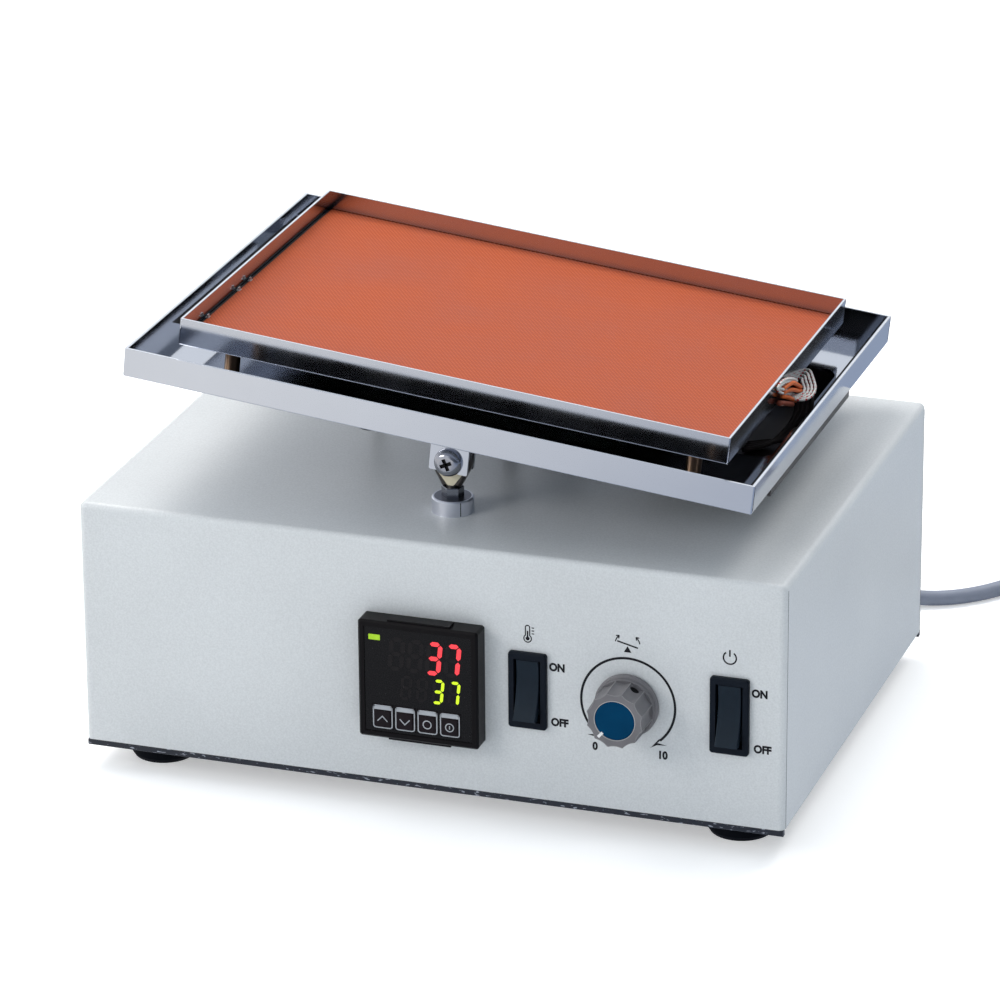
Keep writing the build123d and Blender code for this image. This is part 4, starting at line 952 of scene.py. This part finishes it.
def print_panel():
    """Scale arc, figures and signs in black ink."""
    def marks(shape):
        knob = on_panel(KNOB.x, KNOB.z)
        sweep = arc(SCALE_R, -pi / 2 - SCALE_GAP, -pi / 2 - 2 * pi + SCALE_GAP, 96)
        band(shape, sweep, 0.95 * MM, 0, INK, knob)
        for outline in (
            [(-16.0, -14.7), (-13.1, -14.2), (-10.6, -15.9), (-13.4, -15.1)],
            [(8.6, -17.0), (11.4, -15.5), (15.2, -15.2), (11.6, -14.6)],
            [(9.0, -16.8), (11.2, -14.9), (12.9, -13.2), (12.2, -12.9)],
        ):
            prism(shape, [(x * MM, y * MM) for x, y in outline], 0, INK * 1.1, knob)
        for text, x, z in (
            ("0", 67.0, 36.9), ("10", 93.6, 36.7),
            ("ON", 52.0, 67.1), ("OFF", 53.0, 44.6), ("ON", 131.3, 66.7), ("OFF", 132.6, 44.2),
        ):
            lettering(shape, text, CAPITAL_H, on_panel(x * MM, z * MM))
        for sign, x in ((print_thermometer, 40.4), (print_rocking_sign, 79.8),
                        (print_power_sign, 119.6)):
            sign(shape, on_panel(x * MM, SIGN_Z))

    add_piece("panel_print", marks, INK_BLACK, "base")


def print_thermometer(shape, place):
    """A bulb and stem with three marks beside it."""
    bulb, stem = 1.5 * MM, 0.85 * MM
    neck = (bulb**2 - stem**2) ** 0.5
    low, top, line = -2.3 * MM, 2.2 * MM, 0.45 * MM
    opening = atan2(stem, neck)
    round_bulb = [(x, y + low) for x, y in arc(bulb, pi / 2 + opening, 5 * pi / 2 - opening, 24)]
    round_top = [(x, y + top) for x, y in arc(stem, 0, pi, 10)]
    band(shape, round_bulb + round_top, line, 0, INK, place, closed=True)
    disc(shape, 0.8 * MM, 0, INK, shifted(place, y=low), 20)
    band(shape, [(0, low), (0, 0.8 * MM)], 0.6 * MM, 0, INK, shifted(place, z=CROSSING_LIFT))
    for height in (-0.2, 1.0, 2.2):
        band(shape, [(1.6 * MM, height * MM), (2.6 * MM, height * MM)], 0.4 * MM, 0, INK, place)


def print_rocking_sign(shape, place):
    """A tray on its pivot with arrows at both ends."""
    reach, line, arrow = 4.2 * MM, 0.6 * MM, 0.45 * MM
    leaning = shifted(place, y=0.3 * MM) @ Matrix.Rotation(radians(-14), 4, "Z")
    band(shape, [(-reach, 0), (reach, 0)], line, 0, INK, leaning)
    pivot = [(0, -0.4 * MM), (-1.5 * MM, -2.9 * MM), (1.5 * MM, -2.9 * MM)]
    prism(shape, pivot, 0, INK, place)
    for side in (-1, 1):
        bow = [(side * x, y) for x, y in arc(4.9 * MM, radians(12), radians(48), 12)]
        band(shape, bow, arrow, 0, INK, place)
        end, inner = Vector(bow[-1]), Vector(bow[-3])
        back = (inner - end).normalized()
        for lean in (radians(35), radians(-35)):
            barb = [end, end + (Matrix.Rotation(lean, 2) @ back) * 1.3 * MM]
            band(shape, barb, arrow, 0, INK, shifted(place, z=CROSSING_LIFT))


def print_power_sign(shape, place):
    """An open ring with a bar in its gap."""
    gap = radians(36)
    band(shape, arc(2.5 * MM, pi / 2 + gap, 5 * pi / 2 - gap, 36), 0.6 * MM, 0, INK, place)
    band(shape, [(0, 0.5 * MM), (0, 3.2 * MM)], 0.6 * MM, 0, INK, place)


SEGMENTS = {
    "a": ((0.0, 1.0), (1.0, 1.0)), "b": ((1.0, 1.0), (1.0, 0.5)), "c": ((1.0, 0.5), (1.0, 0.0)),
    "d": ((0.0, 0.0), (1.0, 0.0)), "e": ((0.0, 0.5), (0.0, 0.0)), "f": ((0.0, 1.0), (0.0, 0.5)),
    "g": ((0.0, 0.5), (1.0, 0.5)),
}
FIGURES = {"3": "abcdg", "7": "abc", "8": "abcdefg"}


def figure(shape, lit, place, width, height, thick, raised):
    """A slanted seven-segment figure from its lower left corner; only the lit bars are made."""
    lean, gap = 0.10, 0.18 * thick
    for name in lit:
        one, two = [
            Vector((x * (width - thick) + thick / 2, y * (height - thick) + thick / 2))
            for x, y in SEGMENTS[name]
        ]
        along = (two - one).normalized()
        across = Vector((-along.y, along.x)) * thick / 2
        one, two = one + along * gap, two - along * gap
        shoulder = along * thick * 0.5
        corners = [
            one, one + shoulder + across, two - shoulder + across,
            two, two - shoulder - across, one + shoulder - across,
        ]
        prism(shape, [(c.x + c.y * lean, c.y) for c in corners], 0, raised, place)


def light_display():
    """Two rows of figures, their unlit bars and the pilot lamp, behind the lens."""
    rows = (
        ("red_figures", LAMP_RED, (11.6, 19.1, 26.5, 34.0), 19.5, 6.3, 13.7, 1.75),
        ("green_figures", LAMP_GREEN, (16.4, 22.8, 29.2, 35.6), 31.2, 4.5, 10.2, 1.2),
    )
    for name, lamp, lefts, down, width, height, thick in rows:
        sizes = (width * MM, height * MM, thick * MM, INK)
        places = [on_controller(left * MM, down * MM, WINDOW_OUT) for left in lefts]

        def lit(shape):
            for text, place in zip("37", places[2:]):
                figure(shape, FIGURES[text], place, *sizes)

        def unlit(shape):
            for shown, place in zip(("", "", FIGURES["3"], FIGURES["7"]), places):
                figure(shape, [bar for bar in FIGURES["8"] if bar not in shown], place, *sizes)

        add_piece(name, lit, lamp, "base")
        add_piece(f"{name}_unlit", unlit, UNLIT, "base")

    def pilot(shape):
        place = on_controller(6.6 * MM, 6.7 * MM, WINDOW_OUT)
        prism(shape, rounded(4.6 * MM, 2.2 * MM, 0.2 * MM), 0, 2 * INK, place)

    add_piece("pilot_lamp", pilot, PILOT_GREEN, "base")


def dress_keys():
    """Each key's printed frame with a thick top bar that is a painted highlight on the key's upper
    bevel, its raised pad and the sign on the pad.
    """
    pad_w, pad_h, pad_t, pad_low = 6.1 * MM, 6.6 * MM, 0.45 * MM, 0.8 * MM
    sign_half, ring_r = 2.0 * MM, 1.6 * MM
    frame_w, frame_h, bar = 7.5 * MM, 9.1 * MM, 1.5 * MM
    ring = arc(ring_r, 0, 2 * pi, 32)
    signs = {
        "key_up": [[(-sign_half, -0.9 * MM), (0, 1.2 * MM), (sign_half, -0.9 * MM)]],
        "key_down": [[(-sign_half, 0.9 * MM), (0, -1.2 * MM), (sign_half, 0.9 * MM)]],
        "key_mode": [ring],
        "key_output": [ring, [(0, -0.7 * MM), (0, 0.7 * MM)]],
    }
    for key, lines in signs.items():
        low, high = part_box(key)
        place = on_panel((low.x + high.x) / 2, (low.z + high.z) / 2, KEY_OUT)

        def printed(shape):
            band(shape, rounded(frame_w, frame_h, 1.0 * MM), 0.42 * MM, 0, INK, place, closed=True)
            # The thick bar along the frame's top is a painted highlight on the key's upper bevel.
            prism(shape, oblong(7.4 * MM, bar, 0, 3.65 * MM), 0, INK, place)
            for line in lines:
                band(shape, line, 0.4 * MM, 0, INK, shifted(place, y=-pad_low, z=pad_t))

        def pad(shape):
            prism(shape, rounded(pad_w, pad_h, 0.5 * MM), 0, pad_t, shifted(place, y=-pad_low))

        add_piece(f"{key}_print", printed, KEY_PRINT_AND_HIGHLIGHT, key)
        bevel(add_piece(f"{key}_pad", pad, FINISH["key_black"], key), 0.15 * MM)


def dress_knob():
    """The knob's pointer at the low end of the scale, painted shade in its set screw's hole, a
    painted highlight round the cap, and light lines of wear and painted highlight on its edges.
    """
    axis = on_panel(KNOB.x, KNOB.z)
    face = on_panel(KNOB.x, KNOB.z, KNOB_FACE)
    low_end = -pi / 2 - radians(41.5)
    aim = face @ Matrix.Rotation(low_end, 4, "Z")

    def pointer(shape):
        start, stop = 7.1 * MM, 9.7 * MM
        bar = oblong(stop - start, 1.1 * MM, (start + stop) / 2)
        prism(shape, bar, -0.4 * MM, 2 * INK, aim)

    add_piece("knob_pointer", pointer, POINTER_WHITE, "knob")

    screw = Matrix.Translation((KNOB.x, FRONT_Y - 7.0 * MM, KNOB.z))
    hole = shifted(screw @ Matrix.Rotation(SET_SCREW_TURN, 4, "Y"), z=9.5 * MM)

    # A dark disc inside the set screw's hole: painted shade.
    def ground(shape):
        disc(shape, 1.97 * MM, 0, 0.4 * MM, hole)

    add_piece("knob_hole_shade", ground, HOLE_DARK, "knob")

    # A light ring round the cap: painted highlight.
    def ring(shape):
        band(shape, arc(7.95 * MM, 0, 2 * pi, 64)[:-1], 0.28 * MM, 0, INK, face, closed=True)

    add_piece("knob_cap_ring_highlight", ring, CAP_EDGE_HIGHLIGHT, "knob")

    first, pitch = pi / 2 - SET_SCREW_TURN - radians(2.0), 2 * pi / FLUTES
    half_line, line_depth, face_inset = 0.13 * MM, 0.25 * MM, 0.12 * MM

    def edge_point(bearing):
        off = (bearing - first + pitch / 2) % pitch - pitch / 2
        deep = FLUTE_R**2 - (FLUTE_FROM_AXIS * sin(off)) ** 2
        reach = min(KNOB_R, FLUTE_FROM_AXIS * cos(off) - deep**0.5) if deep > 0 else KNOB_R
        return (reach - face_inset) * cos(bearing), (reach - face_inset) * sin(bearing)

    def crest_line(shape, bearing):
        crest = axis @ Matrix.Rotation(bearing, 4, "Z")
        (a, b, c, d), (e, f, g, h) = [[
            shape.verts.new(crest @ Vector((radius - sunk, side * half_line, out)))
            for out, radius in ((KNOB_FOOT, CREST_R_FOOT), (KNOB_FACE - 0.1 * MM, CREST_R_FACE))
            for side in (-1, 1)
        ] for sunk in (0.0, line_depth)]
        for wall in (
            (a, b, d, c), (e, f, h, g), (a, b, f, e), (c, d, h, g), (a, c, g, e), (b, d, h, f),
        ):
            shape.faces.new(wall)

    # Light lines on the face's rim and the flute crests: wear and painted highlight.
    def rim(shape):
        outline = [edge_point(2 * pi * step / RIM_STEPS) for step in range(RIM_STEPS)]
        band(shape, outline, 0.22 * MM, -INK, INK, face, closed=True)
        for flute in range(FLUTES):
            crest_line(shape, first + (flute + 0.5) * pitch)

    add_piece("knob_rim_wear_and_highlight", rim, WEAR_AND_HIGHLIGHT_EDGE, "knob")


def shape_rockers():
    """Both rockers, with a hollowed face and soft edges; their tops are pressed in."""
    lean, half, width = radians(11.0), 11.9 * MM, 9.0 * MM
    shallow, hollow, end_z = 1.7 * MM, 2.3 * MM, 1.2 * MM
    back_half, back_z = 4.5 * MM, -2.2 * MM
    shares = [step / 8 for step in range(-8, 9)]
    face = [(half * share, shallow + hollow * share**2) for share in shares]
    back = [(half, end_z), (back_half, back_z), (-back_half, back_z), (-half, end_z)]
    for name, pivot in zip(("heater_rocker", "power_rocker"), SWITCHES):
        side = Matrix((
            (0, 0, 1, pivot.x),
            (sin(lean), -cos(lean), 0, pivot.y),
            (cos(lean), sin(lean), 0, pivot.z),
            (0, 0, 0, 1),
        ))

        def cap(shape):
            prism(shape, face + back, -width / 2, width / 2, side)

        rocker = add_piece(f"{name}_cap", cap, FINISH["rocker_black"], name)
        bevel(rocker, 0.4 * MM, 3)
        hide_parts(name)


def add_casing_seams():
    """Folded corners of the cover, which show as fine dark lines."""
    def seams(shape):
        for x in (CASE_LEFT, CASE_RIGHT):
            for y in (FRONT_Y + BEND_R, REAR_Y - BEND_R):
                prism(shape, oblong(2 * INK, 0.3 * MM, x, y), CASE_FOOT, CASE_TOP - BEND_R)

    add_piece("cover_seams", seams, SEAM_DARK, "base")


# Pivots and trays

def dress_pivots():
    """The rod ends' passivated faces, painted shade in the screws' cross recesses, the collars'
    slits, and painted shade in the recess on each collar's top.
    """
    eye_low, eye_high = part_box("rod_ends")
    head_low, head_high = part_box("pivot_screws")
    collar_low, collar_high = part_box("pivot_collars")
    radius = (collar_high.x - collar_low.x) / 2
    at_user = Matrix.Rotation(pi / 2, 4, "X")
    at_wall = Matrix.Rotation(pi, 4, "Z") @ at_user
    for end, eye_y, head_y, turn, along, tilt in (
        ("front", eye_low.y, head_low.y, at_user, -PIVOT_Y, -TILT),
        ("rear", eye_high.y, head_high.y, at_wall, PIVOT_Y, TILT),
    ):
        on_eye = Matrix.Translation((PIVOT.x, eye_y, PIVOT.z)) @ turn

        def plate(shape):
            upper = arc(7.1 * MM, radians(-36), radians(216), 36)
            neck, foot, shoulder, low = 1.5 * MM, 1.0 * MM, -9.9 * MM, -10.3 * MM
            lower = [(-neck, shoulder), (-foot, low), (foot, low), (neck, shoulder)]
            prism(shape, upper + lower, 0, 0.12 * MM, on_eye)

        face = add_piece(f"rod_end_{end}_face", plate, IVORY, "base")
        bevel(face, 0.05 * MM, 1)

        spin = Matrix.Rotation(radians(30) + tilt, 4, "Z")
        on_head = Matrix.Translation((PIVOT.x, head_y, PIVOT.z)) @ turn @ spin

        # A dark cross below the screw's crown: painted shade in its cross recess.
        def cross(shape):
            long, short = 4.2 * MM, 1.0 * MM
            for size in ((long, short), (short, long)):
                prism(shape, oblong(*size), -1.0 * MM, -0.55 * MM, on_head)

        add_piece(f"pivot_screw_{end}_cross", cross, HOLE_DARK, "tray")

        middle = Matrix.Translation((PIVOT.x, CASE_Y + along, 0))
        split = middle @ Matrix.Rotation(radians(-50), 4, "Z")

        def slit(shape):
            deep = 1.5 * MM
            gap = oblong(deep + INK, 0.32 * MM, radius - (deep - INK) / 2)
            prism(shape, gap, collar_low.z + 0.2 * MM, collar_high.z - 0.4 * MM, split)

        # A darker disc on the collar's top: painted shade in its recess.
        def recess(shape):
            disc(shape, radius - 1.0 * MM, collar_high.z, collar_high.z + INK, middle)

        add_piece(f"pivot_collar_{end}_slit", slit, SEAM_DARK, "base")
        add_piece(f"pivot_collar_{end}_top", recess, COLLAR_RECESS_SHADE, "base")


def add_tray_seams():
    """Open corners of both folded trays, their cut edges brightened as a painted highlight, and
    dark strips on the lower floor as painted shade that the walls mirror.
    """
    trays = (
        (TRAY_HALF_W, TRAY_HALF_D, TRAY_FLOOR, TRAY_TOP, TRAY_SHEET),
        (HEATER_HALF_W, HEATER_HALF_D, HEATER_FLOOR, HEATER_TOP, HEATER_SHEET),
    )

    def seams(shape):
        for half_w, half_d, low, high, sheet in trays:
            for across in (-1, 1):
                for along in (-1, 1):
                    gap = oblong(2 * INK, 0.28 * MM, across * half_w, along * (half_d - sheet))
                    prism(shape, gap, low + sheet, high)

    add_piece("tray_seams", seams, SEAM_DARK, "tray", on_tray())

    # Bright bands on the walls' top edges: cut edges brightened as a painted highlight.
    def edges(shape):
        for half_w, half_d, _, top, sheet in trays:
            x, y = half_w - sheet / 2, half_d - sheet / 2
            corners = [(x, y), (-x, y), (-x, -y), (x, -y)]
            width = (sheet - 0.1 * MM) * EDGE_HIGHLIGHT_SHARE
            band(shape, corners, width, 0, INK, on_tray(0, 0, top), closed=True)

    add_piece("tray_edge_highlights", edges, CUT_EDGE_HIGHLIGHT, "tray")

    # Dark strips on the floor at both sides, which the walls mirror: painted shade.
    def shade_strips(shape):
        inner, floor = TRAY_HALF_W - TRAY_SHEET - 0.3 * MM, TRAY_FLOOR + TRAY_SHEET
        stop = 96.0 * MM
        for side, near, start in ((1, 117.6 * MM, -stop), (-1, 119.8 * MM, -40.0 * MM)):
            corners = [(near, start), (inner, start), (inner, stop), (near, stop)]
            prism(shape, [(side * x, y) for x, y in corners], floor, floor + 0.1 * MM)

    add_piece("tray_shade_strips", shade_strips, SHADE_STRIP, "tray", on_tray())


def lay_mat():
    """The ribbed mat with soft edges."""
    width = 2 * (HEATER_HALF_W - HEATER_SHEET) - MAT_GAP - 2 * MAT_SLACK
    depth = 2 * (HEATER_HALF_D - HEATER_SHEET) - 2 * MAT_SLACK
    place = on_tray(MAT_GAP / 2, 0, HEATER_FLOOR + HEATER_SHEET)

    def slab(shape):
        prism(shape, rounded(width, depth, 1.0 * MM), 0, MAT_T)

    mat = add_piece("ribbed_mat", slab, FINISH["mat_silicone"], "tray", place)
    bevel(mat, 0.4 * MM, 3)
    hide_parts("heater_mat")


def line_on_tray(points):
    """The smooth line of a route that is given in millimetres on the tray."""
    return smooth_line([on_tray() @ Vector([value * MM for value in point]) for point in points])


def route_leads():
    """The mat's leads: white braid in open loops, orange tails, dark sleeves through the window."""
    loops = []
    for wire in range(4):
        loops.append(line_on_tray([
            (104.0, 24.0 - 3.0 * wire, 24.4), (107.6, 29.0 - 3.2 * wire, 24.6),
            (110.4, 30.4 - 3.4 * wire, 24.8), (113.2 - 0.8 * wire, 24.2 - 2.4 * wire, 24.8),
            (117.2 - 1.2 * wire, 15.0 - wire, 24.5), (118.4 - 1.25 * wire, 7.6, 24.3),
            (117.4 - 1.2 * wire, 1.6 + 1.1 * wire, 24.1),
            (114.4 - 0.8 * wire, -0.8 + 1.3 * wire, 24.0), (110.6, 0.9 + 1.3 * wire, 24.2),
            (105.6, 3.0 + 1.3 * wire, 24.5),
        ]))
    for inset in (0.0, 1.2):
        loops.append(line_on_tray([
            (107.0, 11.0, 23.4), (111.2, 3.0 + inset, 24.6 + inset),
            (111.3, -8.0 + inset, 28.6 + inset), (111.4, -16.0 + inset, 31.8 + inset),
            (111.2, -23.0 + 2 * inset, 35.4), (111.1, -20.6 + inset, 37.2 - inset),
            (111.1, -12.0, 36.2 - inset), (111.2, -4.0, 33.6 - inset), (111.2, 4.0, 30.4 - inset),
            (111.0, 10.0, 27.0 - inset), (106.0, 14.0, 24.6),
        ]))
    glass = FINISH["lead_braid"]
    braid = add_tubes("heater_leads_braid", loops, 0.55 * MM, glass, "tray")
    tails = [line_on_tray(line) for line in (
        [(111.2, -14.0, 32.6), (111.8, -5.0, 32.6), (112.2, 3.0, 29.0), (112.6, 9.0, 25.6)],
        [(111.2, -14.0, 31.2), (111.9, -5.0, 29.6), (112.4, 5.0, 25.6), (112.8, 12.0, 22.6)],
        [(111.2, -14.0, 29.8), (111.9, -7.0, 27.0), (112.4, 0.0, 23.6), (112.6, 6.0, 20.8)],
    )]
    add_tubes("heater_lead_tails", tails, 0.85 * MM, ORANGE_LEAD, "tray")
    stub = line_on_tray([(111.4, -18.0, 28.4), (112.0, -9.0, 25.2), (112.4, -1.0, 22.0)])
    add_tubes("heater_lead_stub", [stub], 1.1 * MM, RED_SLEEVE, "tray")
    sleeves = [line_on_tray([
        (112.6 + 1.75 * sleeve, 4.0 + sleeve, 23.4), (113.2 + 1.7 * sleeve, 4.6 + sleeve, 20.0),
        (113.0 + 1.6 * sleeve, 4.4 + sleeve, 15.4), (111.2 + 1.3 * sleeve, 1.0, 11.0),
        (109.0 + sleeve, -6.0, 8.2), (106.0, -14.0 + 2.4 * sleeve, 7.4),
        (100.0, -20.0 + 2.4 * sleeve, 7.2),
    ]) for sleeve in range(4)]
    add_tubes("heater_lead_sleeves", sleeves, 0.95 * MM, DARK_SLEEVE, "tray")
    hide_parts("heater_leads")


def add_mat_clips():
    """Small spring clips that hold the mat's sensor wire in the bare strip at the left."""
    def clips(shape):
        foot, waist, tip = MAT_T - 0.2 * MM, MAT_T + 0.3 * MM, MAT_T + 1.3 * MM
        for along in (-57.0, -24.0, -12.0):
            place = on_tray(-107.4 * MM, along * MM, HEATER_FLOOR + HEATER_SHEET)
            prism(shape, rounded(1.3 * MM, 2.4 * MM, 0.3 * MM), foot, waist, place)
            prism(shape, rounded(0.7 * MM, 1.4 * MM, 0.15 * MM), waist, tip, place)

    bevel(add_piece("mat_clips", clips, FINISH["zinc_steel"], "tray"), 0.1 * MM, 1)

    wire = line_on_tray([(-108.1, y, 28.6) for y in (-79.0, -40.0, 0.0, 40.0, 79.0)])
    black = FINISH["black_plastic"]
    add_tubes("mat_sensor_wire", [wire], 0.55 * MM, black, "tray")


def sleeve_the_lead():
    """The braided sleeve that brings the leads up from the casing, with a little slack in it."""
    low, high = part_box("flexible_lead")
    x, y = (low.x + high.x) / 2, (low.y + high.y) / 2
    top, slack = high.z + 1.0 * MM, 1.1 * MM
    line = smooth_line([Vector(point) for point in (
        (x, y, low.z), (x, y, CASE_TOP + 3.0 * MM),
        (x + slack, y - slack, CASE_TOP + 10.0 * MM), (x - slack, y + slack, top - 9.0 * MM),
        (x, y, top - 3.0 * MM), (x, y, top),
    )])
    cloth = FINISH["lead_sleeve"]
    sleeve = add_tubes("flexible_sleeve", [line], 3.3 * MM, cloth, None, 20)
    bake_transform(sleeve)
    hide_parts("flexible_lead")


def add_underside_screws():
    """Screws that hold the wiring cover and the brackets under the tray."""
    tree = screw_row_tree()
    sizes = {
        "Screws": 3, "Pitch": 22.0 * MM, "Radius": 2.6 * MM, "Height": 1.6 * MM,
        "Finish": FINISH["screw_steel"],
    }
    turned_down = Matrix.Rotation(pi, 4, "X")
    for name, y in (("wiring_screws_front", -56.0), ("wiring_screws_rear", 64.0)):
        place = on_tray(62.0 * MM, y * MM, TRAY_FLOOR - 0.8 * MM) @ turned_down
        grown(name, tree, sizes, place, "tray")


place_camera()
light_studio()
lay_floor()
finish_cad_nodes()
lay_cord()
print_panel()
light_display()
dress_keys()
dress_knob()
shape_rockers()
add_casing_seams()
dress_pivots()
add_tray_seams()
lay_mat()
route_leads()
add_mat_clips()
sleeve_the_lead()
add_underside_screws()

bpy.context.scene.view_settings.view_transform = "Standard"
